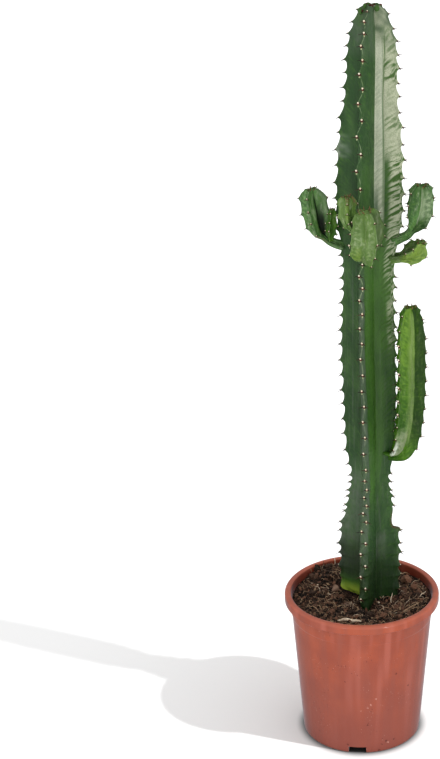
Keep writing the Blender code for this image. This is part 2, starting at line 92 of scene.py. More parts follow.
# Ribbed stems, as in the solids
RIBS = 4
STEM_BASE = 0.118
SHOULDER_DROP = 1.1
WIDEST_EDGE = 0.32
DEEPEST_VALLEY = 0.62
FIRST_TOOTH = 0.45
LAST_TOOTH = 0.3
TIP_DOME = -0.0022
DOME_TILTS = (30, 60, 82)

# Steps of the stems' surface, finer on the flanks that face the front
ROW_STEP = 0.00095
FRONT_FLANK_STEPS = 16
FLANK_STEPS = 9
EDGE_STEPS = 3


def metres(value):
    """Millimetres, one number or nested rows of them, in metres."""
    return tuple(metres(part) for part in value) if isinstance(value, (tuple, list)) else value / 1000


def ease(low, high, value):
    """0 at low, 1 at high, and a smooth step between. Works on numbers and arrays."""
    t = np.clip((value - low) / (high - low), 0.0, 1.0)
    return t * t * (3 - 2 * t)


def window(start, full, end, gone, value):
    """Rises from start to full, and falls from end to gone."""
    return ease(start, full, value) * (1 - ease(end, gone, value))


NOISE_CELLS = 64


def soft_noise(x, y, seed):
    """Smooth noise from -1 to 1 over a plane, one lump a unit."""
    table = np.random.default_rng(seed).uniform(-1, 1, (NOISE_CELLS, NOISE_CELLS))
    column, row = np.floor(x).astype(int), np.floor(y).astype(int)
    across, along = ease(0, 1, x - column), ease(0, 1, y - row)
    places = [((column + i) % NOISE_CELLS, (row + j) % NOISE_CELLS) for i in (0, 1) for j in (0, 1)]
    corners = [table[place] for place in places]
    near = corners[0] * (1 - along) + corners[1] * along
    far = corners[2] * (1 - along) + corners[3] * along
    return near * (1 - across) + far * across


def smooth_values(profile, at):
    """The values of a profile there, on a curve that runs through its points without overshooting."""
    x, y = np.array(profile, float).T
    slopes = np.diff(y) / np.diff(x)
    tangents = np.zeros(len(x))
    before, after = slopes[:-1], slopes[1:]
    same = before * after > 0
    tangents[1:-1][same] = 2 * before[same] * after[same] / (before + after)[same]
    at = np.clip(at, x[0], x[-1])
    i = np.clip(np.searchsorted(x, at, side="right") - 1, 0, len(x) - 2)
    width = x[i + 1] - x[i]
    t = (at - x[i]) / width
    return (
        (2 * t**3 - 3 * t**2 + 1) * y[i]
        + (t**3 - 2 * t**2 + t) * width * tangents[i]
        + (3 * t**2 - 2 * t**3) * y[i + 1]
        + (t**3 - t**2) * width * tangents[i + 1]
    )


class CentreLine:
    """A smooth curve through points, read by the distance from its first point."""

    SAMPLES = 16

    def __init__(self, points):
        knots = np.array(points, float)
        knots = np.vstack([2 * knots[0] - knots[1], knots, 2 * knots[-1] - knots[-2]])
        t = (np.arange(self.SAMPLES) / self.SAMPLES)[:, None]
        spans = [
            0.5 * (2 * b + (c - a) * t + (2 * a - 5 * b + 4 * c - d) * t**2 + (3 * b - a - 3 * c + d) * t**3)
            for a, b, c, d in zip(knots, knots[1:], knots[2:], knots[3:])
        ]
        self.points = np.vstack([*spans, knots[-2]])
        steps = np.linalg.norm(np.diff(self.points, axis=0), axis=1)
        self.reach = np.concatenate([[0.0], np.cumsum(steps)])
        self.length = float(self.reach[-1])

    def place(self, distances):
        return np.stack([np.interp(distances, self.reach, axis) for axis in self.points.T], axis=-1)

    def direction(self, distances):
        step = 0.002
        ahead = self.place(np.minimum(distances + step, self.length))
        behind = self.place(np.maximum(distances - step, 0.0))
        way = ahead - behind
        return way / np.linalg.norm(way, axis=-1, keepdims=True)


# Ends of a patch's share that lie below the valley and past the crest, so that it doesn't fade there
IN = (-0.2, -0.1)
OUT = (2.1, 2.2)
WHOLE = (*IN, *OUT)


@dataclass
class Patch:
    """Where a mask or folds lie: rib sides, distances along the stem and shares across the flank."""

    what: str
    sides: tuple
    along: tuple
    across: tuple
    amount: float = 1.0
    patchy: float = 0.0
    size: float = 0.006


def patches_from(rows, base=0.0):
    """Patches of the table's rows, whose places in millimetres are measured from the base's height."""
    return tuple(
        Patch(what, sides, tuple(height - base for height in metres(along)), *more[:3], *metres(more[3:]))
        for what, sides, along, *more in rows
    )


@dataclass
class Stem:
    """A ribbed stem. Each profile is a list of (distance from the stem's base, value)."""

    name: str
    path: list
    crest: list
    core: list
    edge: list
    pitch: list
    facing: list
    phases: list
    tooth: float
    tip_leaves: int = 0
    bare: tuple = ()
    feet: tuple = ()
    wounds: tuple = ()
    teeth_from: float = 0.008
    patches: tuple = ()
    crease: tuple = ()
    sway: tuple = ((0.0, 0.0), (1.0, 0.0))
    fine: tuple = ()
    folds: float = 0.006
    rise: float = 0.0105
    uneven: float = 0.0
    skin: str = ""


def turned_from_up(way, vector):
    """The vector, given for a stem that points up, for stems that point each way."""
    axis = np.stack([-way[:, 1], way[:, 0], np.zeros(len(way))], axis=1)
    along = np.sum(axis * vector, axis=1, keepdims=True)
    cosine = way[:, 2:3]
    return vector * cosine + np.cross(axis, vector) + axis * along / (1 + cosine)


def rib_directions(stem, line, distances, rib):
    """The way a rib points, and the way across it, square to the stem, for each distance."""
    way = line.direction(distances)
    angle = np.interp(distances, *zip(*stem.facing)) + rib * math.tau / RIBS
    flat = np.zeros(len(distances))
    out = turned_from_up(way, np.stack([np.sin(angle), -np.cos(angle), flat], axis=1))
    across = turned_from_up(way, np.stack([np.cos(angle), np.sin(angle), flat], axis=1))
    return out, across


class Teeth:
    """Where a rib's teeth are, counted down from the tip."""

    SAMPLES = 1500
    # Over how many teeth a rib's phase fades at each end, and the parts of a pitch, counted down from a
    # tooth, in which the crest falls and from which it rises to the next
    FADE = 1.5
    FALL_END = 0.24
    RISE_START = 0.45
    RISE_POWER = 1.7

    def __init__(self, stem, length, rib):
        distances = np.linspace(0.0, length, self.SAMPLES)
        pitches = np.interp(distances, *zip(*stem.pitch))
        steps = np.diff(distances) / pitches[:-1]
        counts = np.concatenate([[0.0], np.cumsum(steps)])
        counts = counts[-1] - counts
        fade = np.clip(np.minimum(counts, counts[0] - counts) / self.FADE, 0.0, 1.0)
        phases = np.interp(distances, *zip(*stem.phases[rib]))
        self.distances = distances
        self.own = counts - phases * fade - FIRST_TOOTH
        numbers = np.arange(int(counts[0]))
        numbers = numbers[numbers + FIRST_TOOTH < counts[0] - LAST_TOOTH]
        places = np.interp(-numbers, -self.own, distances)
        kept = [self.stands(stem, rib, place) for place in places]
        self.numbers = numbers[kept]
        self.places = places[kept]

    @staticmethod
    def stands(stem, rib, distance):
        clear = not any(which == rib and low < distance < high for which, low, high in stem.bare)
        return clear and distance >= stem.teeth_from

    def swelling(self, distances):
        """How far the crest stands out towards each tooth: a slow rise from above and a short fall below."""
        own = np.interp(distances, self.distances, self.own)
        above = np.floor(own)
        part = own - above
        falling = 1 - ease(0.0, self.FALL_END, part)
        rise = (part - self.RISE_START) / (1 - self.RISE_START)
        rising = np.clip(rise, 0.0, 1.0) ** self.RISE_POWER
        return falling * np.isin(above, self.numbers) + rising * np.isin(above + 1, self.numbers)


def rib_reach(stem, rib, distances):
    crest = smooth_values(stem.crest, distances)
    for which, low, high, depth in stem.wounds:
        if which == rib:
            inside = (distances > low) & (distances < high)
            crest = crest - depth * inside * (high - distances) / (high - low)
    if not stem.feet:
        return crest
    stump, ends = stem.feet
    return stump + (crest - stump) * ease(*ends[rib], distances)


def fold_phase(stem, distances, shares):
    """Counts the oblique folds: each rises as it runs out from the valley and flattens towards the crest."""
    rise = stem.rise * (1 - (1 - np.clip(shares / 1.7, 0, 1)) ** 2)
    wander = 0.55 * soft_noise(distances / 0.016, shares * 1.1, 5)
    return (distances - rise) / stem.folds + wander


def fold_ridge(phase, shares):
    """1 on a fold's back and 0 in a deep groove, which is sharp above and soft below, and of uneven depth."""
    groove = np.round(phase).astype(int)
    depths = np.random.default_rng(8).uniform(0.25, 1.0, NOISE_CELLS)[groove % NOISE_CELLS]
    width = np.where(phase > groove, 0.2, 0.34)
    main = depths * np.exp(-(((phase - groove) / width) ** 2))
    wrinkles = 0.35 * (0.5 + 0.5 * soft_noise(phase * 2.3, shares * 1.2, 6))
    return 1 - np.clip(main + wrinkles, 0, 1)


def masks_of(stem, rib, side, distances, shares):
    """The paint masks of one flank, each an array over distances and shares."""
    d, s = np.meshgrid(distances, shares, indexing="ij")
    made = {}
    for number, patch in enumerate(stem.patches):
        if (rib, side) not in patch.sides:
            continue
        mask = patch.amount * window(*patch.along, d) * window(*patch.across, s)
        if patch.patchy:
            lumps = soft_noise(d / patch.size + 7 * rib, s * 2.3 + 3 * side, 11 + number)
            mask = mask * np.clip(1 + patch.patchy * lumps, 0, 1.6)
        made[patch.what] = np.maximum(made.get(patch.what, 0.0), np.clip(mask, 0, 1))
    return made, d, s


# Paint masks: pale is painted sheen and glint painted highlights, shade is painted shade; bloom, fresh, lime
# and scab are the skin's own colours, and fold is relief whose grooves are painted as shade too
MASKS = ("pale", "bloom", "fresh", "lime", "shade", "scab", "glint", "fold")
# Relief of the flanks in metres, and the crease's half width as a share
FOLD_DEPTH = 0.001
FLANK_BULGE = 0.0007
FLANK_WAVES = 0.00035
CREASE_DEPTH = 0.0007
CREASE_HALF_WIDTH = 0.06
# What the crease's distance says on flanks without one
CREASE_AWAY = 9.0


def crest_sway(stem, teeth, distances):
    """How far the crest leans across its rib: the teeth stand by turns to the left and the right."""
    own = np.interp(distances, teeth.distances, teeth.own)
    return np.interp(distances, *zip(*stem.sway)) * np.cos(math.pi * own)


def flank(stem, line, rib, side, distances, teeth):
    """Points and masks of one side of a rib, from the valley to the crest."""
    out, across = rib_directions(stem, line, distances, rib)
    reach = rib_reach(stem, rib, distances)
    swell = teeth.swelling(distances)
    edge = np.minimum(smooth_values(stem.edge, distances), WIDEST_EDGE * reach)
    depth = np.minimum(smooth_values(stem.core, distances), DEEPEST_VALLEY * reach)
    valley = np.stack([depth, depth], axis=1) * math.sqrt(0.5)
    shoulder = np.stack([reach - SHOULDER_DROP * edge, edge * (1 + 0.12 * swell)], axis=1)
    run = shoulder - valley
    size = np.linalg.norm(run, axis=1, keepdims=True)
    run_way = run / size
    off = np.stack([-run_way[:, 1], run_way[:, 0]], axis=1)

    count = FRONT_FLANK_STEPS if (rib, side) in stem.fine else FLANK_STEPS
    steps = np.linspace(0, 1, count + 1)
    turns = np.radians(90 * np.arange(1, EDGE_STEPS + 1) / EDGE_STEPS)
    shares = np.concatenate([steps, 1 + np.arange(1, EDGE_STEPS + 1) / EDGE_STEPS])
    masks, d, s = masks_of(stem, rib, side, distances, shares)

    lift = FLANK_BULGE * np.sin(math.pi * np.clip(s, 0, 1)) * np.minimum(size / 0.015, 1)
    lift += FLANK_WAVES * soft_noise(d / 0.013 + 9 * rib, s * 1.6 + 4 * side, 3) * ease(0, 0.2, s)
    lift += stem.uneven * soft_noise(d / 0.0075 + 5 * rib, s * 3.4 + 2 * side, 15) * ease(0, 0.25, s)
    phase = fold_phase(stem, d, s)
    ridge = fold_ridge(phase, s)
    lift -= FOLD_DEPTH * masks.get("fold", 0.0) * (1 - ridge)
    from_crease = np.full(d.shape, CREASE_AWAY)
    if stem.crease and (rib, side) == stem.crease[0]:
        shares_of_crease, low, high = stem.crease[1:]
        from_crease = s - np.interp(distances, *zip(*shares_of_crease))[:, None]
        along = window(low, low + 0.03, high - 0.02, high, d)
        lift -= CREASE_DEPTH * np.exp(-((from_crease / CREASE_HALF_WIDTH) ** 2)) * along
        from_crease = np.abs(from_crease) + 2 * (1 - along)
    bulge = 0.25 * stem.tooth * ease(0.55, 1.05, s) * swell[:, None]

    flat = valley[:, None] + run[:, None] * steps[None, :, None]
    flat = flat + off[:, None] * lift[:, : count + 1, None]
    drop = SHOULDER_DROP * edge
    height = reach[:, None] - drop[:, None] + (drop + stem.tooth * swell)[:, None] * np.sin(turns)
    beside = shoulder[:, 1:2] * np.cos(turns) ** 0.9
    round_edge = np.stack([height, beside], axis=2)
    points = np.concatenate([flat, round_edge], axis=1)
    points[:, : count + 1, 0] += bulge[:, : count + 1]
    points[:, count + 1 : -1, 0] += 0.25 * bulge[:, count + 1 : -1]
    points[:, :, 1] += side * crest_sway(stem, teeth, distances)[:, None] * ease(1.0, 1.7, s)
    centre = line.place(distances)
    world = centre[:, None] + out[:, None] * points[:, :, :1] + across[:, None] * points[:, :, 1:] * side
    spread = {name: np.broadcast_to(masks.get(name, 0.0), d.shape) for name in MASKS}
    spread.update(share=s, phase=phase, ridge=ridge, crease=from_crease)
    return world, spread


def placed(name, data):
    """A new object in the scene."""
    obj = bpy.data.objects.new(name, data)
    bpy.context.scene.collection.objects.link(obj)
    return obj


def placed_shape(name, shape):
    """A new object in the scene from a finished bmesh."""
    mesh = bpy.data.meshes.new(name)
    shape.to_mesh(mesh)
    shape.free()
    return placed(name, mesh)


def mesh_object(name, points, faces, attributes, material, smooth=True):
    """A mesh object with a float for each point under each attribute's name."""
    mesh = bpy.data.meshes.new(name)
    mesh.from_pydata(points, [], faces)
    for label, values in attributes.items():
        layer = mesh.attributes.new(label, "FLOAT", "POINT")
        layer.data.foreach_set("value", np.asarray(values, np.float32))
    if smooth:
        mesh.shade_smooth()
    mesh.materials.append(material)
    return placed(name, mesh)


def stem_flesh(stem, material):
    """The stem's skin as one closed mesh, and the teeth of each rib."""
    line = CentreLine(stem.path)
    rows = np.linspace(0, line.length, round(line.length / ROW_STEP) + 1)
    teeth = [Teeth(stem, line.length, rib) for rib in range(RIBS)]
    strips, paint = [], []
    for rib in range(RIBS):
        left, left_paint = flank(stem, line, rib, -1, rows, teeth[rib])
        right, right_paint = flank(stem, line, rib, 1, rows, teeth[rib])
        strips += [left, right[:, -2:0:-1]]
        paint += [left_paint, {name: values[:, -2:0:-1] for name, values in right_paint.items()}]
    grid = np.concatenate(strips, axis=1)
    masks = {name: np.concatenate([part[name] for part in paint], axis=1) for name in paint[0]}
    count, sides = grid.shape[:2]
    top = line.place(np.array([line.length]))[0]
    way = line.direction(np.array([line.length]))[0]
    domes = []
    for tilt in map(math.radians, DOME_TILTS):
        domes.append(top + (grid[-1] - top) * math.cos(tilt) + way * TIP_DOME * math.sin(tilt))
    grid = np.concatenate([grid, np.stack(domes)], axis=0)
    masks = {name: np.concatenate([m, *[m[-1:]] * len(domes)], axis=0) for name, m in masks.items()}
    count += len(domes)
    index = np.arange(count * sides).reshape(count, sides)
    after = np.roll(index, -1, axis=1)
    faces = np.stack([index[:-1], after[:-1], after[1:], index[1:]], axis=-1).reshape(-1, 4).tolist()
    tip, foot = count * sides, count * sides + 1
    faces += [(tip, a, b) for a, b in zip(index[-1].tolist(), after[-1].tolist())]
    faces += [(foot, b, a) for a, b in zip(index[0].tolist(), after[0].tolist())]
    points = np.vstack([grid.reshape(-1, 3), top + way * TIP_DOME, line.place(np.array([0.0]))])
    attributes = {name: np.append(m.ravel(), [m[-1, 0], m[0, 0]]) for name, m in masks.items()}
    attributes["height"] = points[:, 2]
    obj = mesh_object(f"{stem.name}_flesh", points.tolist(), faces, attributes, material)
    return obj, line, teeth


class Shapes:
    """Collects small shapes into one mesh, with a tone and a place from root to tip for each point."""

    def __init__(self):
        self.points, self.faces, self.tone, self.along = [], [], [], []

    def add_solid(self, points, faces, tone):
        start = len(self.points)
        self.points += [tuple(point) for point in points]
        self.along += [0.5] * len(points)
        self.tone += [tone] * len(points)
        self.faces += [tuple(start + i for i in face) for face in faces]

    def add_rings(self, rings, tone):
        """Rings of points from root to tip, joined, with both ends closed."""
        start, sides, last = len(self.points), len(rings[0]), len(rings) - 1
        end = start + last * sides
        self.add_solid([point for row in rings for point in row], [], tone)
        self.along[start:] = [number / last for number in range(last + 1) for _ in range(sides)]
        for low in range(start, end, sides):
            for i in range(sides):
                j = (i + 1) % sides
                self.faces.append((low + i, low + j, low + sides + j, low + sides + i))
        self.faces.append(tuple(range(start + sides - 1, start - 1, -1)))
        self.faces.append(tuple(range(end, end + sides)))

    def build(self, name, material, smooth=True):
        marks = {"tone": self.tone, "along": self.along}
        obj = mesh_object(name, self.points, self.faces, marks, material, smooth)
        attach(obj, "root")
        return obj


def square_to(way):
    """Two directions square to it and to each other."""
    helper = Vector((0, 0, 1)) if abs(way.z) < 0.9 else Vector((1, 0, 0))
    first = way.cross(helper).normalized()
    return first, way.cross(first)


def ring(middle, first, second, sides):
    """Points round a middle. The two vectors are the ring's half axes."""
    angles = [math.tau * i / sides for i in range(sides)]
    return [middle + first * math.cos(a) + second * math.sin(a) for a in angles]


def spike(shapes, root, way, length, radius, tone, bend=Vector(), sides=6, steps=4, flat=1.0):
    """A tapering spine from its root, bent a little towards its tip."""
    first, second = square_to(way)
    rings = []
    for number in range(steps + 1):
        t = number / steps
        r = radius * ((1 - t) ** 0.8 * 0.97 + 0.03)
        rings.append(ring(root + way * length * t + bend * t * t, first * r, second * flat * r, sides))
    shapes.add_rings(rings, tone)


def pad(shapes, centre, out, along, across, half, tone):
    """A small raised shield, an ellipsoid half sunk in the crest."""
    rings = []
    for tilt in map(math.radians, (-70, -30, 10, 45, 75)):
        middle = centre + out * half[2] * math.sin(tilt)
        wide = math.cos(tilt)
        rings.append(ring(middle, along * half[0] * wide, across * half[1] * wide, 8))
    shapes.add_rings(rings, tone)


SPINE_LENGTH = 0.0062
SPINE_RADIUS = 0.00058
FULL_BUD = 1.0
SMALL_BUD = 0.6
SCAR_TONE = -0.6


def add_tooth(trim, crest, out, across, up, size, bud, rng):
    """One tooth's trim: a dark shield, a pale woolly bud on it, two spines and two small ones.

    A full bud has a scar under it, a larger shield and wider spread spines.
    """
    spines, shields, buds = trim
    low = crest - out * 0.0003 - up * 0.0005 * size
    wide = size if bud == FULL_BUD else 0.55 * size
    pad(shields, low, out, up, across, (0.002 * wide, 0.0016 * wide, 0.0009), rng.uniform(0, 1))
    high = crest + up * 0.0006 * size + out * (0.0014 * bud - 0.001)
    pad(buds, high, out, up, across, (0.001 * bud, 0.001 * bud, 0.0008 * bud), rng.uniform(0, 1))
    if bud == FULL_BUD:
        scar = crest - up * 0.003 * size - out * 0.0006
        pad(buds, scar, out, up, across, (0.0011 * size, 0.0007 * size, 0.0007), SCAR_TONE)
    for hand in (-1, 1):
        spread = rng.uniform(0.55, 1.1) * (1.9 if bud == FULL_BUD else 1.0)
        droop = rng.uniform(-0.05, 0.35)
        way = (out + across * spread * hand - up * droop).normalized()
        length = SPINE_LENGTH * rng.uniform(0.75, 1.1) * size
        bend = -up * length * rng.uniform(-0.05, 0.15)
        root = low - out * 0.0004 + across * hand * 0.0005
        spike(spines, root, way, length, SPINE_RADIUS * size, rng.uniform(0, 1), bend)
        way = (out * 0.5 + across * hand + up * 0.35).normalized()
        spike(spines, low, way, 0.002, SPINE_RADIUS * 0.6, rng.uniform(0.5, 1), sides=4, steps=2)


def add_tip_leaves(stem, line, leaves, rng):
    """The small dry leaves round a growing tip."""
    top = Vector(line.place(np.array([line.length]))[0])
    way = Vector(line.direction(np.array([line.length]))[0])
    first, second = square_to(way)
    rim = float(smooth_values(stem.crest, np.array([line.length]))[0])
    count = 3 * stem.tip_leaves
    for number in range(count):
        angle = math.tau * (number / count) + rng.uniform(-0.3, 0.3)
        side = first * math.cos(angle) + second * math.sin(angle)
        lean = (way + side * rng.uniform(0.2, 1.0)).normalized()
        length = rng.uniform(0.0026, 0.0052)
        root = top + side * rim * rng.uniform(0.3, 0.8) - way * 0.0008
        spike(leaves, root, lean, length, 0.0008, rng.uniform(0, 1), flat=0.6)


def stem_trim(stem, line, teeth, stuff, seed):
    """What stands on a stem's crests and tip, one mesh for each stuff."""
    rng = np.random.default_rng(seed)
    trim = {"spines": Shapes(), "shields": Shapes(), "buds": Shapes()}
    for rib in range(RIBS):
        places = teeth[rib].places
        if not len(places):
            continue
        outs, acrosses = rib_directions(stem, line, places, rib)
        ups = line.direction(places)
        sways = crest_sway(stem, teeth[rib], places)
        reaches = rib_reach(stem, rib, places) + stem.tooth
        crests = line.place(places) + outs * reaches[:, None] + acrosses * sways[:, None]
        for out, across, up, crest, reach in zip(outs, acrosses, ups, crests, reaches):
            size = min(1.0, 0.42 + reach / 0.045)
            bud = FULL_BUD if rib == 0 and reach > 0.02 else SMALL_BUD
            ways = map(Vector, (crest, out, across, up))
            add_tooth(trim.values(), *ways, size, bud, rng)
    if stem.tip_leaves:
        trim["tip_leaves"] = Shapes()
        add_tip_leaves(stem, line, trim["tip_leaves"], rng)
    return [shapes.build(f"{stem.name}_{what}", stuff[what]) for what, shapes in trim.items()]


def screen_colour(red, green, blue):
    """A colour as a screen shows it, 0 to 255, made linear."""
    channels = [value / 255 for value in (red, green, blue)]
    return [c / 12.92 if c < 0.04045 else ((c + 0.055) / 1.055) ** 2.4 for c in channels]


# How much brighter than its own colour a surface that faces the camera looks in this studio
STUDIO_LIGHT = 0.92
# What the satin surfaces mirror on top of their own colour
MIRRORED = 0.006
BLACKEST = 0.002


def seen(colour):
    """The colour a surface needs so that it is seen on the screen like this under the studio's light."""
    channels = screen_colour(*colour)
    return tuple(max(channel - MIRRORED, BLACKEST) / STUDIO_LIGHT for channel in channels) + (1.0,)


class Paint:
    """Builds the nodes of one material, whose colour is laid on in coats."""

    def __init__(self, name, base, roughness, specular=0.5, sheen=0.0):
        self.material = bpy.data.materials.new(name)
        self.material.use_nodes = True
        self.nodes = self.material.node_tree.nodes
        self.links = self.material.node_tree.links
        self.shader = self.nodes["Principled BSDF"]
        self.shader.inputs["Roughness"].default_value = roughness
        self.shader.inputs["Specular IOR Level"].default_value = specular
        self.shader.inputs["Sheen Weight"].default_value = sheen
        self.colour = seen(base)

    def put(self, socket, value):
        if isinstance(value, bpy.types.NodeSocket):
            self.links.new(value, socket)
        else:
            socket.default_value = value

    def node(self, kind, **inputs):
        """A new node with its inputs set or linked. An underline stands for the space in an input's name."""
        node = self.nodes.new(kind)
        for name, value in inputs.items():
            self.put(node.inputs[name.replace("_", " ")], value)
        return node

    def place(self, stretch=(1, 1, 1)):
        """The object's own coordinates in metres, squeezed along each axis."""
        own = self.node("ShaderNodeTexCoord").outputs["Object"]
        return self.node("ShaderNodeMapping", Vector=own, Scale=stretch).outputs["Vector"]

    def attribute(self, name):
        node = self.node("ShaderNodeAttribute")
        node.attribute_name = name
        return node.outputs["Fac"]

    def noise(self, scale, detail, stretch=(1, 1, 1), rough=0.5):
        place = self.place(stretch)
        node = self.node("ShaderNodeTexNoise", Vector=place, Scale=scale, Detail=detail, Roughness=rough)
        return node.outputs["Fac"]

    def streaks(self, scale, detail):
        """Noise drawn out along the folds, whose count and place across the flank are attributes."""
        place = self.node("ShaderNodeCombineXYZ", X=self.attribute("phase"), Y=self.attribute("share"))
        node = self.node("ShaderNodeTexNoise", Vector=place.outputs["Vector"], Scale=scale, Detail=detail)
        return node.outputs["Fac"]

    def cells(self, scale):
        """The distance to the nearest of many scattered points, in cells."""
        return self.node("ShaderNodeTexVoronoi", Vector=self.place(), Scale=scale).outputs["Distance"]

    def away(self, place, stretch=(1, 1, 1)):
        """The distance from a place of the object, squeezed along each axis."""
        node = self.nodes.new("ShaderNodeVectorMath")
        node.operation = "DISTANCE"
        self.put(node.inputs[0], self.place(stretch))
        self.put(node.inputs[1], place)
        return node.outputs["Value"]

    def spot(self, place, radius, share, ragged):
        """The share at a place of the object, fading to none at the radius, with a ragged edge."""
        away = self.maths("ADD", self.away(place), self.between(ragged, 0.35, 0.65, 0.0, 0.6 * radius))
        return self.between(away, 0.5 * radius, radius, share, 0.0)

    def between(self, value, low, high, start=0.0, end=1.0):
        """The value's way from low to high, eased and clamped."""
        limits = {"From_Min": low, "From_Max": high, "To_Min": start, "To_Max": end}
        node = self.node("ShaderNodeMapRange", Value=value, **limits)
        node.interpolation_type = "SMOOTHSTEP"
        return node.outputs["Result"]

    def maths(self, operation, first, second):
        node = self.nodes.new("ShaderNodeMath")
        node.operation = operation
        self.put(node.inputs[0], first)
        self.put(node.inputs[1], second)
        return node.outputs["Value"]

    def times(self, first, second):
        return self.maths("MULTIPLY", first, second)

    def mix(self, share, first, second):
        """A colour between the first and the second."""
        node = self.nodes.new("ShaderNodeMix")
        node.data_type = "RGBA"
        self.put(node.inputs[0], share)
        below, above = [socket for socket in node.inputs if socket.type == "RGBA"]
        self.put(below, first)
        self.put(above, second)
        return next(socket for socket in node.outputs if socket.type == "RGBA")

    def coat(self, share, colour):
        """Lays a colour, as the screen shows it, over those below."""
        self.colour = self.mix(share, self.colour, seen(colour))

    def finish(self, height=None, depth=0.0, roughness=None):
        """Links the colour, and the relief and the roughness where they vary."""
        self.put(self.shader.inputs["Base Color"], self.colour)
        if roughness is not None:
            self.put(self.shader.inputs["Roughness"], roughness)
        if height is not None:
            bump = self.node("ShaderNodeBump", Distance=depth, Height=height)
            self.put(self.shader.inputs["Normal"], bump.outputs["Normal"])
        return self.material


@dataclass
class Tones:
    """The flesh's colours, and how strongly it is grained and lined."""

    dark: tuple
    mid: tuple
    fresh: tuple
    bloom: tuple
    # pale: the grain's pale streaks, and painted sheen where the pale mask lies
    pale: tuple
    # groove: the grain's dark streaks, and painted shade in the fold grooves and the crease
    groove: tuple
    grain: float = 0.0
    hairlines: float = 0.0


COLUMN_TONES = Tones(
    (48, 80, 42), (66, 100, 50), (76, 120, 40), (88, 101, 84), (184, 189, 160), (66, 102, 40), hairlines=0.4
)
ARM_TONES = {
    "arm": Tones(
        (66, 104, 48), (96, 138, 76), (124, 158, 62), (120, 142, 104), (172, 186, 152), (52, 88, 42), 0.5
    ),
    "light_arm": Tones(
        (84, 118, 50), (112, 142, 76), (132, 160, 66), (128, 146, 104), (178, 192, 150), (88, 122, 52), 0.5
    ),
    "long_arm": Tones(
        (48, 90, 18), (76, 120, 26), (118, 158, 48), (136, 148, 114), (176, 192, 132), (52, 94, 20), 0.16
    ),
}
# The painted highlight along each crest
CREST_HIGHLIGHT_COLOUR = (158, 178, 132)
SCAB_COLOUR = (112, 66, 52)
# Masks that are laid on as they are: painted glints (highlights), the yellow patch and painted shade
PLAIN_MASKS = {"glint": (196, 204, 190), "lime": (150, 172, 62), "shade": (20, 30, 14)}


def flesh_material(name, tones):
    """Waxy flesh: mottled greens with folds, bloom and scabs, pale painted sheen and glints, painted shade in
    fold grooves, creases and hollows, and a pale painted highlight along each crest.
    """
    paint = Paint(name, tones.dark, roughness=0.4, specular=0.45)
    between, times, mark = paint.between, paint.times, paint.attribute
    fine = paint.noise(330, 3, (1, 1, 0.5))
    specks = paint.noise(900, 1)
    streaks = paint.streaks(2.4, 3)
    share, height = mark("share"), mark("height")

    paint.coat(between(paint.noise(55, 3, (1, 1, 0.35)), 0.36, 0.66), tones.mid)
    paint.coat(between(streaks, 0.52, 0.72, 0.0, 0.35), tones.fresh)
    paint.coat(between(streaks, 0.34, 0.5, 0.35, 0.0), tones.dark)
    if tones.grain:
        drawn = paint.noise(260, 3, (1, 1, 0.28), 0.6)
        paint.coat(between(drawn, 0.5, 0.72, 0.0, tones.grain), tones.pale)
        paint.coat(between(drawn, 0.3, 0.46, tones.grain, 0.0), tones.groove)
        paint.coat(times(between(share, 1.0, 1.5), between(fine, 0.35, 0.55, 0.2, 0.7)), tones.groove)
    if tones.hairlines:
        lines = paint.noise(480, 2, (1, 1, 0.035))
        low_down = between(height, 0.48, 0.62, 1.0, 0.25)
        paint.coat(times(low_down, between(lines, 0.52, 0.7, 0.0, tones.hairlines)), tones.bloom)
        paint.coat(times(low_down, between(lines, 0.32, 0.48, tones.hairlines, 0.0)), tones.dark)
    paint.coat(mark("fresh"), tones.fresh)
    paint.coat(times(mark("bloom"), between(fine, 0.25, 0.6, 0.55, 1.0)), tones.bloom)
    # Painted sheen: pale where the wax would mirror a bright light
    paint.coat(times(mark("pale"), between(specks, 0.3, 0.62, 0.72, 1.0)), tones.pale)

    # Painted shade: the fold grooves and the crease darker green, beside the painted sheen on the fold ridges
    uneven = paint.maths("ADD", mark("ridge"), between(streaks, 0.3, 0.7, -0.35, 0.35))
    paint.coat(times(mark("fold"), between(uneven, 0.25, 0.85, 1.0, 0.0)), tones.groove)
    paint.coat(between(mark("crease"), 0.01, 0.06, 0.85, 0.0), tones.groove)
    # Painted highlight along each crest, fainter low on the column
    line = times(between(share, 1.8, 1.97), between(fine, 0.4, 0.62, 0.06, 0.48))
    paint.coat(times(line, between(height, 0.25, 0.56, 0.25, 1.0)), CREST_HIGHLIGHT_COLOUR)
    # Painted glints, the yellow patch and painted shade
    for what, colour in PLAIN_MASKS.items():
        paint.coat(mark(what), colour)
    paint.coat(times(mark("scab"), between(specks, 0.42, 0.58)), SCAB_COLOUR)
    relief = paint.maths("ADD", fine, times(specks, 0.4))
    return paint.finish(relief, 0.00035, between(fine, 0.3, 0.72, 0.34, 0.52))


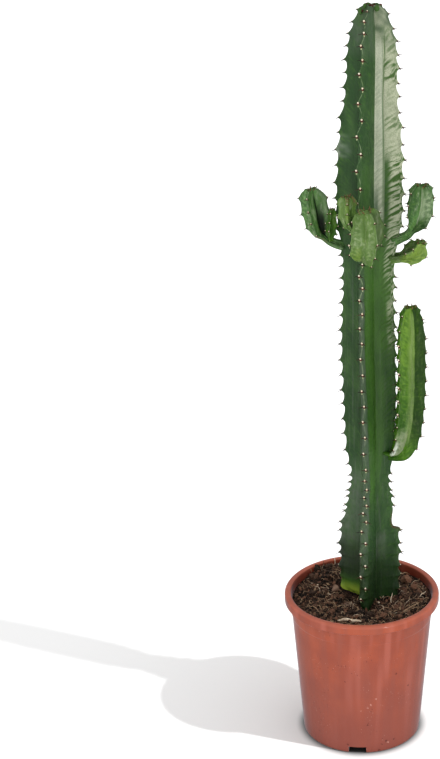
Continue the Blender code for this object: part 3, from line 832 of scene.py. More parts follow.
# Plain stuffs: roughness and specular, the grain's scale, detail and roughness, its relief, the base colour,
# and coats: what each goes by (the grain, a point's tone or its place from root to tip), its range and colour
STUFFS = {
    "spine_horn": (
        (0.38, 0.5), (1500, 2, 0.5), 0.0001, (38, 30, 30),
        ("tone", (), (80, 50, 42)),
        ("along", (0.8, 1.0, 0.0, 0.35), (126, 110, 92)),
        ("grain", (0.4, 0.7, 0.0, 0.3), (32, 20, 18)),
    ),
    "shield_horn": (
        (0.5, 0.5), (1400, 2, 0.5), 0.0001, (76, 36, 28),
        ("tone", (), (112, 62, 44)),
        ("grain", (0.42, 0.62, 0.0, 0.6), (54, 28, 22)),
    ),
    "bud_wool": (
        (0.75, 0.5), (2200, 2, 0.5), 0.0001, (228, 210, 176),
        ("tone", (), (248, 238, 214)),
        ("tone", (SCAR_TONE, 0.0, 0.85, 0.0), (164, 176, 128)),
        ("grain", (0.5, 0.75, 0.0, 0.4), (186, 140, 104)),
    ),
    "tip_leaf_skin": (
        (0.5, 0.5), (900, 2, 0.5), 0.0002, (120, 112, 66),
        ("along", (), (138, 78, 58)),
        ("grain", (0.4, 0.65, 0.0, 0.6), (78, 46, 36)),
    ),
    "peat_crumbs": (
        (0.85, 0.3), (900, 3, 0.6), 0.0008, (22, 14, 12),
        ("tone", (0.0, 0.8), (124, 88, 68)),
        # Pale flecks on the crumbs are painted highlights
        ("grain", (0.52, 0.72, 0.0, 0.55), (146, 116, 96)),
        ("tone", (0.85, 1.0), (146, 126, 110)),
    ),
    "plant_litter": (
        (0.7, 0.5), (800, 3, 0.5), 0.0003, (84, 58, 44),
        ("tone", (0.0, 0.5), (176, 144, 112)),
        ("tone", (0.5, 1.0), (232, 212, 186)),
        ("grain", (0.45, 0.7, 0.0, 0.5), (96, 70, 50)),
    ),
}


def plain_material(name):
    """The material of one row of the table above."""
    surface, (scale, detail, rough), depth, base, *coats = STUFFS[name]
    paint = Paint(name, base, *surface)
    grain = paint.noise(scale, detail, rough=rough)
    for mark, limits, colour in coats:
        share = grain if mark == "grain" else paint.attribute(mark)
        paint.coat(paint.between(share, *limits) if limits else share, colour)
    return paint.finish(grain, depth)


# Specks of soil and pale scuffs on the pot's wall: place and radius in millimetres
POT_SPECKS = (
    ((37.1, -63.2, 99.4), 2.2), ((50.6, -50.5, 78), 2.2), ((-18.2, -70.5, 93.7), 1.4),
    ((6.8, -67.9, 38), 2.4), ((35.6, -55.8, 12.4), 2.4), ((26.7, -60.6, 12.9), 2.2),
    ((22.3, -62.1, 10), 2), ((19, -62.6, 2.5), 2.6), ((66.1, -19.5, 45.3), 2), ((-15.2, -64.5, 11), 2),
)
POT_SCUFFS = (
    ((6.8, -69.8, 60.6), 2.2), ((10, -69.7, 64.4), 1.8), ((15.5, -69.3, 71.7), 1.8),
    ((-0.9, -69.8, 56.9), 1.4), ((28.9, -59.4, 10.8), 2.2), ((3.5, -65.5, 5.7), 2.6),
)


def pot_material():
    """Moulded satin plastic with faint flow marks, dust in the pores, a few specks of dirt and pale scuffs,
    darker towards the bottom, with painted satin sheen streaks, a painted highlight on the rim and painted
    shade under and inside the rim.
    """
    paint = Paint("pot_satin_plastic", (150, 72, 53), roughness=0.42, sheen=0.5)
    paint.shader.inputs["Sheen Roughness"].default_value = 0.26
    paint.shader.inputs["Sheen Tint"].default_value = (0.86, 0.9, 1.0, 1.0)
    paint.shader.inputs["Coat Weight"].default_value = 0.5
    paint.shader.inputs["Coat Roughness"].default_value = 0.12
    paint.shader.inputs["Anisotropic"].default_value = 0.8
    between, times = paint.between, paint.times
    flow = paint.noise(90, 3, (1, 1, 0.12))
    painted_sheen_streaks = paint.noise(75, 1, (1, 1, 0.015))
    height = paint.attribute("height")
    dusty = between(paint.noise(34, 1), 0.54, 0.66)
    # Painted shade under the rim's lip, and on the inner wall above the soil
    under_rim = times(between(height, 0.1555, 0.1585), between(height, 0.159, 0.16, 0.65, 0.0))
    painted_shade_inside = between(paint.away((0, 0, 0), (1, 1, 0)), 0.0776, 0.0786, 0.6, 0.0)
    ragged = paint.noise(620, 2)
    coats = [
        (between(paint.noise(26, 3), 0.35, 0.68), (168, 80, 53)),
        (between(flow, 0.45, 0.75, 0.0, 0.25), (170, 92, 74)),
        # Painted satin sheen: pale vertical streaks and darker ones between them
        (between(painted_sheen_streaks, 0.5, 0.68, 0.0, 0.45), (182, 102, 86)),
        (between(painted_sheen_streaks, 0.32, 0.48, 0.4, 0.0), (142, 76, 62)),
        (between(height, 0.0, 0.15, 0.8, 0.0), (138, 72, 60)),
        (times(between(paint.cells(210), 0.1, 0.17, 0.75, 0.0), dusty), (104, 52, 42)),
        (times(between(paint.cells(330), 0.08, 0.14, 0.6, 0.0), dusty), (206, 160, 146)),
        # Painted highlight round the rim's rolled top
        (between(height, 0.1655, 0.1685, 0.0, 0.32), (206, 116, 92)),
        (under_rim, (128, 62, 46)),
        (times(painted_shade_inside, between(height, 0.158, 0.16)), (96, 40, 28)),
    ]
    coats += [(paint.spot(*metres(speck), 0.9, ragged), (98, 46, 36)) for speck in POT_SPECKS]
    coats += [(paint.spot(*metres(scuff), 0.6, ragged), (206, 152, 136)) for scuff in POT_SCUFFS]
    for share, colour in coats:
        paint.coat(share, colour)
    relief = paint.maths("ADD", paint.noise(700, 2), flow)
    return paint.finish(relief, 0.00012, between(flow, 0.3, 0.7, 0.34, 0.46))


def soil_material():
    """Damp peat, with pale painted highlight flecks."""
    paint = Paint("peat", (20, 13, 10), roughness=0.9, specular=0.3)
    coarse = paint.noise(260, 4, rough=0.65)
    fine = paint.noise(1300, 3, rough=0.6)
    paint.coat(paint.between(coarse, 0.35, 0.66), (76, 53, 41))
    # Pale flecks: painted highlights
    paint.coat(paint.between(fine, 0.52, 0.72, 0.0, 0.8), (124, 98, 80))
    return paint.finish(paint.maths("ADD", coarse, fine), 0.0012)


def arc(centre, radius, start, end, steps):
    """Points of an arc in the profile's plane, angles in degrees."""
    angles = [math.radians(start + (end - start) * i / steps) for i in range(steps + 1)]
    return [(centre[0] + radius * math.cos(a), centre[1] + radius * math.sin(a)) for a in angles]


def wall_radius(height):
    """The pot's outer wall, with the small step of its stacking shoulder."""
    step = SHOULDER_STEP * float(ease(SHOULDER_LOW, SHOULDER_HIGH, height))
    return BASE_RADIUS + WALL_SLOPE * height + step


def wall_rows(start, end, steps, inset=0.0):
    """Points along the wall between two heights, both included."""
    heights = [start + (end - start) * i / steps for i in range(steps + 1)]
    return [(wall_radius(height) - inset, height) for height in heights]


def pot_profile():
    """From the middle of the floor up the inside, over the lip and down the outside."""
    corner = FLOOR_TOP + FLOOR_CORNER
    floor_edge = (wall_radius(corner) - WALL - FLOOR_CORNER, corner)
    inner = [(0.0, FLOOR_TOP), (0.03, FLOOR_TOP), *arc(floor_edge, FLOOR_CORNER, -90, 0, 4)]
    inner += wall_rows(0.03, SHOULDER_LOW, 4, WALL)
    inner += wall_rows(SHOULDER_LOW, SHOULDER_HIGH, 4, WALL)[1:]
    inner += wall_rows(0.15, WALL_TOP, 2, WALL)
    lip_height = POT_HEIGHT - LIP_RADIUS
    inner_round = (LIP_INNER_RADIUS + LIP_INNER_ROUNDING, POT_HEIGHT - LIP_INNER_ROUNDING)
    inner_lip = arc(inner_round, LIP_INNER_ROUNDING, 180, 90, 6)
    outer_lip = arc((RIM_RADIUS - LIP_RADIUS, lip_height), LIP_RADIUS, 90, 0, 8)
    foot = POT_HEIGHT - RIM_BAND
    edge_middle = (RIM_RADIUS - RIM_FOOT_ROUNDING, foot + RIM_FOOT_ROUNDING)
    under_rim = POT_HEIGHT - UNDER_RIM
    band = [
        (RIM_RADIUS - 0.0001, foot + 0.003),
        *arc(edge_middle, RIM_FOOT_ROUNDING, 0, -90, 4),
        (RIM_RADIUS - RIM_SKIN, foot + 0.0002),
        (RIM_RADIUS - RIM_SKIN - 0.0008, under_rim - 0.001),
        (wall_radius(under_rim) + 0.0012, under_rim),
    ]
    outer = [(wall_radius(WALL_TOP), WALL_TOP), *wall_rows(0.15, SHOULDER_HIGH, 1)]
    outer += wall_rows(SHOULDER_HIGH, SHOULDER_LOW, 6)[1:]
    outer += wall_rows(0.13, NOTCH_HEIGHT + 0.0006, 12)
    base_middle = (wall_radius(BASE_ROUNDING) - BASE_ROUNDING, BASE_ROUNDING)
    rounding = arc(base_middle, BASE_ROUNDING, 0, -90, 5)
    foot_inside = base_middle[0] - FOOT_WIDTH
    foot_ring = [(foot_inside, 0.0), (foot_inside - 0.001, FOOT_RECESS), (0.0, FOOT_RECESS)]
    return [*inner, *inner_lip, *outer_lip, *band, *outer, *rounding, *foot_ring]


def turned(name, profile, sides):
    """The profile, a list of (radius, height), turned about the pot's axis as one closed mesh."""
    bm = bmesh.new()
    rows = []
    for radius, height in profile:
        if radius < 1e-6:
            rows.append([bm.verts.new((0, 0, height))])
            continue
        angles = [math.tau * i / sides for i in range(sides)]
        rows.append([bm.verts.new((radius * math.cos(a), radius * math.sin(a), height)) for a in angles])
    for upper, lower in zip(rows, rows[1:]):
        for i in range(sides):
            j = (i + 1) % sides
            corners = [(upper, i), (lower, i), (lower, j), (upper, j)]
            bm.faces.new(list(dict.fromkeys(row[place % len(row)] for row, place in corners)))
    bmesh.ops.recalc_face_normals(bm, faces=bm.faces)
    return placed_shape(name, bm)


def cut_notches(pot):
    """Takes the four drain notches out of the pot's bottom edge."""
    cutters = []
    for number in range(NOTCH_COUNT):
        angle = NOTCH_ANGLE + number * math.tau / NOTCH_COUNT
        bm = bmesh.new()
        size = Matrix.Diagonal((NOTCH_DEPTH, NOTCH_WIDTH, 2 * NOTCH_HEIGHT, 1))
        bmesh.ops.create_cube(bm, size=1, matrix=size)
        notch = placed_shape("notch", bm)
        notch.location = (NOTCH_REACH * math.cos(angle), NOTCH_REACH * math.sin(angle), 0.0)
        notch.rotation_euler.z = angle
        cutters.append(notch)
        pot.modifiers.new("drain", "BOOLEAN").object = notch
    graph = bpy.context.evaluated_depsgraph_get()
    mesh = bpy.data.meshes.new_from_object(pot.evaluated_get(graph))
    pot.modifiers.clear()
    pot.data = mesh
    for notch in cutters:
        bpy.data.objects.remove(notch, do_unlink=True)


def make_pot():
    """The nursery pot: turned wall, rolled rim and four drain notches."""
    pot = turned("nursery_pot", pot_profile(), POT_SIDES)
    cut_notches(pot)
    heights = [vertex.co.z for vertex in pot.data.vertices]
    pot.data.attributes.new("height", "FLOAT", "POINT").data.foreach_set("value", heights)
    pot.data.materials.clear()
    pot.data.materials.append(pot_material())
    pot.data.shade_smooth()
    pot.data.set_sharp_from_angle(angle=SHARP_ANGLE)
    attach(pot, "root")
    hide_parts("pot")
    return pot


def soil_base(radius):
    """The soil's mean height: a shallow dish round the stem."""
    return SOIL_AT_STEM + (SOIL_AT_WALL - SOIL_AT_STEM) * float(ease(*SOIL_DISH, radius))


# Hollows of the soil: place, depth and spread in millimetres
SOIL_HOLLOWS = (
    ((9.5, -10), 11, 5), ((-12, 8), 6, 7), ((6, -20), 4, 6), ((24, -5), 4, 6),
)
# Clods of the soil's surface: height and size
SOIL_CLODS = ((0.0018, 0.0062), (0.0011, 0.0026))


def bell(x, y, place, spread):
    """1 at the place, fading to nothing over a few times the spread."""
    return math.exp(-((math.hypot(x - place[0], y - place[1]) / spread) ** 2))


def soil_height(x, y):
    """The soil's surface: the solids' lumps and heap, hollows at the stem's foot and fine clods."""
    lump = SOIL_LUMPS * noise.noise(Vector((x / SOIL_LUMP_SIZE, y / SOIL_LUMP_SIZE, 3.7)))
    heap = HEAP_HEIGHT * bell(x, y, HEAP_PLACE, HEAP_SPREAD)
    clods = sum(depth * noise.noise(Vector((x / size, y / size, 9.1))) for depth, size in SOIL_CLODS)
    hollow = sum(depth * bell(x, y, place, spread) for place, depth, spread in metres(SOIL_HOLLOWS))
    return soil_base(math.hypot(x, y)) + lump + heap + clods - hollow


def on_soil(x, y, rise):
    """A point over the soil, or in it where the rise is below 0."""
    return Vector((x, y, soil_height(x, y) + rise))


SOIL_SECTORS = 200
SOIL_RINGS = 70
SOIL_UNDERSIDE = 0.0058
SOIL_EDGE_HEIGHTS = (0.15, 0.1, 0.05, 0.0095)


def make_soil_ball():
    """The root ball, with a clodded top."""
    gap = WALL + SOIL_GAP
    edge = wall_radius(SOIL_AT_WALL) - gap
    lower = [(wall_radius(height) - gap, height) for height in SOIL_EDGE_HEIGHTS]
    profile = [(edge * i / SOIL_RINGS, SOIL_AT_WALL) for i in range(SOIL_RINGS + 1)]
    profile += [*lower, (lower[-1][0] - 0.004, SOIL_UNDERSIDE), (0.0, SOIL_UNDERSIDE)]
    soil = turned("soil_ball", profile, SOIL_SECTORS)
    for vertex in soil.data.vertices:
        if vertex.co.z > SOIL_AT_WALL - 0.001:
            vertex.co.z = soil_height(vertex.co.x, vertex.co.y)
    soil.data.materials.append(soil_material())
    soil.data.shade_smooth()
    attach(soil, "root")
    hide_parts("soil")


COLUMN_PLACE = (0.0088, 0.018)
COLUMN_TURN = math.radians(-12)
COLUMN_CORE = 0.013
RIB_HALF_WIDTH = 0.006
RIB_REACH = 0.032
SOIL_EDGE = 0.0745


def clear_of_stem(x, y, margin):
    """Whether a place on the soil is outside the column's four ribs."""
    dx, dy = x - COLUMN_PLACE[0], y - COLUMN_PLACE[1]
    out = dx * math.sin(COLUMN_TURN) - dy * math.cos(COLUMN_TURN)
    across = dx * math.cos(COLUMN_TURN) + dy * math.sin(COLUMN_TURN)
    near, far = sorted((abs(out), abs(across)))
    on_rib = near < RIB_HALF_WIDTH + margin and far < RIB_REACH + margin
    return not on_rib and math.hypot(dx, dy) > COLUMN_CORE + margin


def soil_places(rng, count, margin):
    """Random places on the open soil."""
    found = []
    while len(found) < count:
        radius = SOIL_EDGE * math.sqrt(rng.uniform(0, 1))
        angle = rng.uniform(0, math.tau)
        x, y = radius * math.cos(angle), radius * math.sin(angle)
        if clear_of_stem(x, y, margin) and radius < SOIL_EDGE - margin:
            found.append((x, y))
    return found


def lump_template(fineness):
    """The corners and faces of a round lump, twenty-sided at fineness 1."""
    bm = bmesh.new()
    bmesh.ops.create_icosphere(bm, subdivisions=fineness, radius=1)
    points = [vertex.co.copy() for vertex in bm.verts]
    faces = [tuple(vertex.index for vertex in face.verts) for face in bm.faces]
    bm.free()
    return points, faces


def random_turn(rng):
    axis = Vector(rng.normal(0, 1, 3))
    return Matrix.Rotation(rng.uniform(0, math.tau), 3, axis.normalized())


def lumpy(template, rng, centre, half, jag, turn):
    """The template's points at an irregular lump's size, turn and place."""
    moved = []
    for point in template[0]:
        rough = 1 + rng.uniform(-jag, jag)
        size = Vector((point.x * half[0], point.y * half[1], point.z * half[2])) * rough
        moved.append(Vector(centre) + turn @ size)
    return moved


def add_lump(shapes, template, rng, centre, half, tone, jag=0.22):
    """One irregular lump."""
    shapes.add_solid(lumpy(template, rng, centre, half, jag, random_turn(rng)), template[1], tone)


# Clods that stand out in the soil, in millimetres: x, y and the rise of the middle, half sizes, and
# tone (0 dark, 0.8 reddish brown, 1 grey)
NAMED_CLODS = (
    ((59, 24, 1), (4.8, 4, 3.4), 0.62), ((50, 35, 2.2), (6, 6, 4.8), 0.7), ((46, 20, 0), (5, 5, 4), 0.45),
    ((64, 10, 0), (4.5, 5, 4), 0.4), ((-30, 21.5, 1.2), (5.6, 4.2, 2.6), 0.92),
    ((-41, 18, 0), (4.4, 4, 3), 0.3), ((-50, 56, 1), (5.2, 4.6, 3.8), 0.15),
    ((-38, 60, 1.5), (5, 4.6, 3.6), 0.25), ((-27, 65, 1), (4.6, 4.2, 3.6), 0.2),
    ((-56, 43, 0.5), (4.2, 4.6, 3), 0.3), ((-2, -31, 1), (5.6, 4.8, 4), 0.12),
    ((9, -37, 1), (5.8, 5, 4.2), 0.2), ((4, -45, 0.8), (5, 4.4, 3.6), 0.1),
    ((24, -40, 0.8), (4.6, 4, 3.2), 0.55), ((-33, -32, 0.6), (5.2, 4.4, 3.4), 0.5),
    ((21.3, 21, 3.4), (2.5, 2.5, 2.3), 0.9),
)
# Heaps of fine grit: place and spread in millimetres, count, tone
GRIT = (
    ((-14.9, -6), 2.8, 46, 0.95), ((-30, 9), 3, 16, 0.9), ((33, -15), 4, 18, 0.88),
    ((-48, -15), 5, 14, 0.88),
)


CLOD_COUNT = 90
CRUMB_COUNT = 2300
CRUMB_SEED = 21


def make_crumbs():
    """Clods and loose crumbs of peat over the whole top."""
    rng = np.random.default_rng(CRUMB_SEED)
    shapes = Shapes()
    clod = lump_template(2)
    for x, y in soil_places(rng, CLOD_COUNT, 0.004):
        size = rng.uniform(0.0026, 0.0056)
        half = size * rng.uniform(0.7, 1.2, 3)
        centre = on_soil(x, y, -size * rng.uniform(0.1, 0.6))
        add_lump(shapes, clod, rng, centre, half, rng.uniform(0.0, 0.5), 0.24)
    for place, half, tone in NAMED_CLODS:
        add_lump(shapes, clod, rng, on_soil(*metres(place)), metres(half), tone, 0.2)
    crumb = lump_template(1)
    for x, y in soil_places(rng, CRUMB_COUNT, 0.0005):
        size = 0.0006 + 0.0021 * rng.uniform(0, 1) ** 3
        half = size * rng.uniform(0.6, 1.2, 3)
        centre = on_soil(x, y, size * rng.uniform(-0.2, 0.8))
        add_lump(shapes, crumb, rng, centre, half, 0.8 * rng.uniform(0, 1) ** 1.8)
    for place, spread, count, tone in GRIT:
        for _ in range(count):
            x, y = (middle + rng.normal(0, spread / 1000) for middle in metres(place))
            half = rng.uniform(0.0005, 0.0012) * rng.uniform(0.7, 1.2, 3)
            add_lump(shapes, crumb, rng, on_soil(x, y, 0.0012), half, tone)
    crumbs = shapes.build("soil_crumbs", plain_material("peat_crumbs"), smooth=False)


def tube(shapes, points, radius, tone, sides=5):
    """A thin round strand through the points, thinner at both ends."""
    rings = []
    count = len(points)
    for number, point in enumerate(points):
        ahead = points[min(number + 1, count - 1)]
        behind = points[max(number - 1, 0)]
        first, second = square_to((ahead - behind).normalized())
        r = radius * (0.45 + 0.55 * math.sin(math.pi * (number + 0.5) / count))
        rings.append(ring(point, first * r, second * r, sides))
    shapes.add_rings(rings, tone)


def strand(shapes, rng, start, length, heading, radius, tone, rise):
    """A strand that wanders over the soil from its start."""
    steps = 7
    x, y = start
    points = []
    turn = rng.uniform(-1, 1)
    for number in range(steps):
        part = number / (steps - 1)
        points.append(on_soil(x, y, radius * 1.2 + rise * math.sin(math.pi * part) + 0.0006))
        heading += turn * 0.35 + rng.normal(0, 0.18)
        x += math.cos(heading) * length / steps
        y += math.sin(heading) * length / steps
        if math.hypot(x, y) > SOIL_EDGE or not clear_of_stem(x, y, 0.0):
            break
    if len(points) > 2:
        tube(shapes, points, radius, tone)


# Strands that stand out in the soil: points (x, y and the rise above it) and radius in millimetres, tone
NAMED_STRANDS = (
    (((-30.6, 66, 0), (-30.2, 66.2, 3), (-30.4, 66.5, 6), (-30.8, 66.8, 9)), 0.5, 0.95),
    (((-42, 63, 0), (-43, 63.2, 3), (-43.4, 63.5, 6)), 0.4, 0.15),
    (((-50, 56, 1), (-51.2, 56.2, 4), (-52, 56.5, 7)), 0.4, 0.3),
    (((-56, 50, 1), (-57, 50.2, 4), (-57.2, 50.5, 6)), 0.4, 0.4),
    (((-40, -6, 1), (-37.2, -2, 2), (-34.5, 2, 2), (-31.2, 6.5, 1)), 0.6, 0.6),
    (((-42, -1, 1), (-39, 2, 2), (-36, 6, 1)), 0.5, 0.5),
    (((42, -38.5, 1), (47, -33, 2), (54, -26, 3), (63, -17, 3)), 0.6, 0.5),
    (((46, -37, 1), (52, -33, 2), (58, -29, 2), (64, -27, 1)), 0.5, 0.58),
    (((41, 40, 1), (45, 45, 4), (49, 49, 5), (54, 53, 2)), 0.5, 0.55),
    (((64, 0, 1), (66.5, 3, 4), (69, 5, 3), (70.5, 8, 2)), 0.6, 0.92),
    (((32.5, -6, 0), (32, -1, 3), (33.5, 5, 4), (34.5, 12, 3)), 0.6, 0.92),
    (((18, -5, 0), (21, -8, 3), (23, -15, 3), (24, -24, 1)), 0.5, 0.85),
    (((23, 15, 1), (24, 10, 3), (23.2, 5, 2)), 0.5, 0.9),
    (((-60, -30, 1), (-54, -23, 3), (-50, -26, 2), (-46, -36, 1)), 0.5, 0.5),
    (((-56, -42, 1), (-51, -37, 2), (-47, -42, 1)), 0.4, 0.55),
    (((-16, 52, 1), (-13, 54, 3), (-9, 55, 1)), 0.5, 0.7),
)


FIBRE_COUNT = 560
STANDING_COUNT = 70
FIBRE_SEED = 33


def make_fibres(material):
    """Roots and straw lying on the soil, and standing on it and on the heap."""
    rng = np.random.default_rng(FIBRE_SEED)
    shapes = Shapes()
    for place in soil_places(rng, FIBRE_COUNT, 0.001):
        length = rng.uniform(0.005, 0.019)
        radius = rng.uniform(0.00013, 0.0003)
        tone = float(np.clip(rng.normal(0.32, 0.26), 0, 1))
        strand(shapes, rng, place, length, rng.uniform(0, math.tau), radius, tone, rng.uniform(0, 0.004))
    standing = soil_places(rng, STANDING_COUNT, 0.002)
    heap_x, heap_y = HEAP_PLACE
    standing += [
        (heap_x + rng.normal(0, 0.012), heap_y + rng.normal(0, 0.007)) for _ in range(STANDING_COUNT)
    ]
    for x, y in standing:
        if math.hypot(x, y) > SOIL_EDGE:
            continue
        way = Vector((rng.normal(0, 0.7), rng.normal(0, 0.7), 1)).normalized()
        length = rng.uniform(0.003, 0.008)
        side = Vector((rng.normal(0, 1), rng.normal(0, 1), -0.3)) * length * 0.25
        spike(shapes, on_soil(x, y, -0.001), way, length, 0.0003, rng.uniform(0.1, 0.8), side)
    for places, radius, tone in NAMED_STRANDS:
        tube(shapes, [on_soil(*place) for place in metres(places)], radius / 1000, tone)
    fibres = shapes.build("soil_fibres", material)


# Chips that stand out in the soil: place and half sizes in millimetres, tone
NAMED_CHIPS = (
    ((18.8, -1.5), (1.4, 1.1, 1.1), 1), ((7, -2), (0.9, 0.8, 0.8), 1),
    ((-49.6, 24), (2.8, 1.2, 1.2), 0.85), ((4.5, -25), (1.2, 1, 0.8), 0.9), ((30, 15), (1.8, 1, 0.6), 0.8),
    ((-18.7, 50), (2.2, 0.8, 0.6), 0.75),
)


CHIP_COUNT = 240
CHIP_SEED = 47


def make_chips(material):
    """Flat chips of bark and shell."""
    rng = np.random.default_rng(CHIP_SEED)
    template = lump_template(1)
    shapes = Shapes()
    for x, y in soil_places(rng, CHIP_COUNT, 0.001):
        long = rng.uniform(0.001, 0.0032)
        half = (long, long * rng.uniform(0.25, 0.5), long * rng.uniform(0.12, 0.25))
        tone = float(np.clip(rng.normal(0.22, 0.24), 0, 1))
        add_lump(shapes, template, rng, on_soil(x, y, 0.0008), half, tone, 0.15)
    for place, half, tone in NAMED_CHIPS:
        add_lump(shapes, template, rng, on_soil(*metres(place), 0.0012), metres(half), tone, 0.12)
    chips = shapes.build("soil_chips", material, smooth=False)


# The pale chip's left and right end, its half width and its tone
RIM_CHIP = ((-0.0262, -0.0528), (-0.0004, -0.0545), 0.0017, 0.92)
RIM_CHIP_STEPS = 8


def make_rim_chip(material):
    """The large pale chip that lies against the front wall."""
    (left_x, left_y), (right_x, right_y), half, tone = RIM_CHIP
    shapes = Shapes()
    points = []
    for i in range(RIM_CHIP_STEPS + 1):
        t = i / RIM_CHIP_STEPS
        x, y = left_x + (right_x - left_x) * t, left_y + (right_y - left_y) * t
        points.append(on_soil(x, y, 0.0016 + 0.0006 * math.sin(9 * t)))
    tube(shapes, points, half, tone, sides=6)
    chip = shapes.build("rim_chip", material)


# A flank is told by its rib (0 front, 1 right, 2 back, 3 left) and its side (-1 left, 1 right)
LEFT_OF_FRONT, RIGHT_OF_FRONT, FRONT_OF_RIGHT, FRONT_OF_LEFT = (0, -1), (0, 1), (1, -1), (3, 1)
# The sharp crease along the right wing: its flank, its shares by distance along the stem, and where it runs
CREASE_SHARES = [(0.0, 0.33), (0.5, 0.34), (0.58, 0.37), (0.64, 0.46), (0.69, 0.62)]
COLUMN_CREASE = (FRONT_OF_RIGHT, CREASE_SHARES, 0.46, 0.685)
# How far the column's crests swing to each side, in millimetres by height: their teeth stand by turns left
# and right
CREST_SWAY = (
    (118, -2.6), (240, -2.6), (300, -1), (460, -0.9), (500, -1.5), (550, -2), (590, -1), (610, 1),
    (650, 2.4), (720, 2.4), (770, 1.2), (812.5, 0.4),
)


def column_patches():
    """The column's paint and folds, with the heights above the floor in millimetres."""
    right, left = (FRONT_OF_RIGHT,), (FRONT_OF_LEFT,)
    every = tuple((rib, side) for rib in range(RIBS) for side in (-1, 1))
    hidden = ((1, 1), (2, -1), (2, 1), (3, -1))
    all_but_left = tuple(side for side in every if side != FRONT_OF_LEFT)
    # The pale rows are painted sheen, the glint rows painted highlights and the shade rows painted shade,
    # mostly next to the soil; the fold rows are relief whose grooves are painted shade too
    rows = (
        ("fold", right, (420, 460, 655, 680), (0.36, 0.5, *OUT)),
        ("fold", right, (340, 360, 420, 470), (0.36, 0.5, *OUT), 0.45),
        ("fold", right, (640, 660, 735, 760), (0.5, 0.7, *OUT), 0.25, 0.5, 20),
        ("fold", right, (685, 692, 699, 707), (0.36, 0.5, *OUT), 0.75),
        ("fold", right, (735, 742, 756, 763), (0.36, 0.5, *OUT), 0.95),
        ("fold", right, (763, 770, 786, 796), (0.5, 0.7, *OUT), 0.6),
        ("fold", right, (570, 590, 670, 690), (*IN, 0.3, 0.4), 0.45, 0.5, 20),
        ("fold", right, (670, 690, 740, 770), (*IN, 0.3, 0.4), 0.2, 0.5, 20),
        ("fold", left, (620, 650, 675, 690), (0.6, 1, *OUT), 0.9),
        ("fold", left, (530, 580, 630, 650), (0.6, 1, *OUT), 0.3),
        ("fold", hidden, (330, 380, 700, 740), (0.4, 0.6, *OUT), 0.5),
        ("pale", right, (605, 635, 770, 795), (*IN, 0.33, 0.42), 1, 0.12, 20),
        ("pale", right, (583, 600, 640, 660), (0.12, 0.2, 0.33, 0.42), 0.95),
        ("pale", right, (650, 670, 765, 790), (0.36, 0.44, *OUT), 0.92, 0.1, 20),
        ("pale", right, (510, 560, 650, 690), (0.52, 0.72, *OUT), 0.9, 0.3, 12),
        ("pale", right, (440, 470, 540, 560), (0.7, 0.9, *OUT), 0.45, 0.9, 10),
        ("bloom", every, (755, 775, 820, 830), WHOLE, 0.45, 0.5, 10),
        ("pale", right, (765, 780, 820, 830), (*IN, 1.4, 1.9), 0.42, 0.9, 6),
        ("glint", right, (583, 600, 770, 785), (*IN, 0.33, 0.42), 0.22, 0.3, 20),
        ("glint", left, (652, 660, 663, 682), (0.3, 1.2, 1.4, 1.9), 0.42, 0.9, 4),
        ("bloom", (LEFT_OF_FRONT,), (180, 240, 500, 560), (0.75, 1, *OUT), 0.6, 0.5, 20),
        ("bloom", (LEFT_OF_FRONT,), (240, 300, 500, 560), (0.1, 0.3, *OUT), 0.3, 0.5, 20),
        ("bloom", (RIGHT_OF_FRONT,), (180, 240, 500, 560), (1.15, 1.3, *OUT), 0.65, 0.5, 20),
        ("bloom", (LEFT_OF_FRONT, FRONT_OF_LEFT), (170, 200, 290, 330), (-0.2, 0.1, *OUT), 0.55, 0.5),
        ("bloom", right, (198, 210, 228, 242), (*IN, 0.4, 0.7), 0.55, 0.3, 10),
        ("fresh", (RIGHT_OF_FRONT,), (250, 300, 560, 600), (*IN, 0.9, 1.15), 0.5, 0.3, 20),
        ("fresh", right, (420, 470, 560, 600), (*IN, 0.9, 1.4), 0.6, 0.3, 20),
        ("fresh", right, (260, 320, 420, 470), (*IN, 0.35, 0.7), 0.45, 0.3, 20),
        ("shade", (LEFT_OF_FRONT, FRONT_OF_LEFT), (300, 360, 460, 520), WHOLE, 0.16),
        ("shade", all_but_left, (100, 110, 180, 235), WHOLE, 0.52),
        ("shade", left, (163, 183, 200, 240), WHOLE, 0.62),
        ("shade", left, (100, 110, 142, 154), WHOLE, 0.6),
        ("fresh", left, (138, 150, 162, 184), WHOLE, 0.95, 0.2),
        ("lime", left, (130, 142, 158, 174), WHOLE, 0.85, 0.35, 5),
        ("shade", (RIGHT_OF_FRONT,), (100, 110, 148, 172), (*IN, 1.4, 1.8), 0.8),
        ("scab", right, (234, 238, 252, 262), (1.55, 1.75, *OUT)),
    )
    return patches_from(rows, STEM_BASE)


# Where an arm or the wound leaves no teeth on the column, and the wound: rib and heights in millimetres
ARM_PLACES = ((0, 556, 625), (1, 318, 360), (1, 541, 582), (3, 554, 571))
WOUND = (1, 239, 262)
WOUND_DEPTH = 0.006
# How far the stump reaches, and the distances between which each rib's crest rises from it
STUMP_REACH = 0.012
FEET = ((0.018, 0.028), (0.016, 0.026), (0.012, 0.026), (0.033, 0.046))


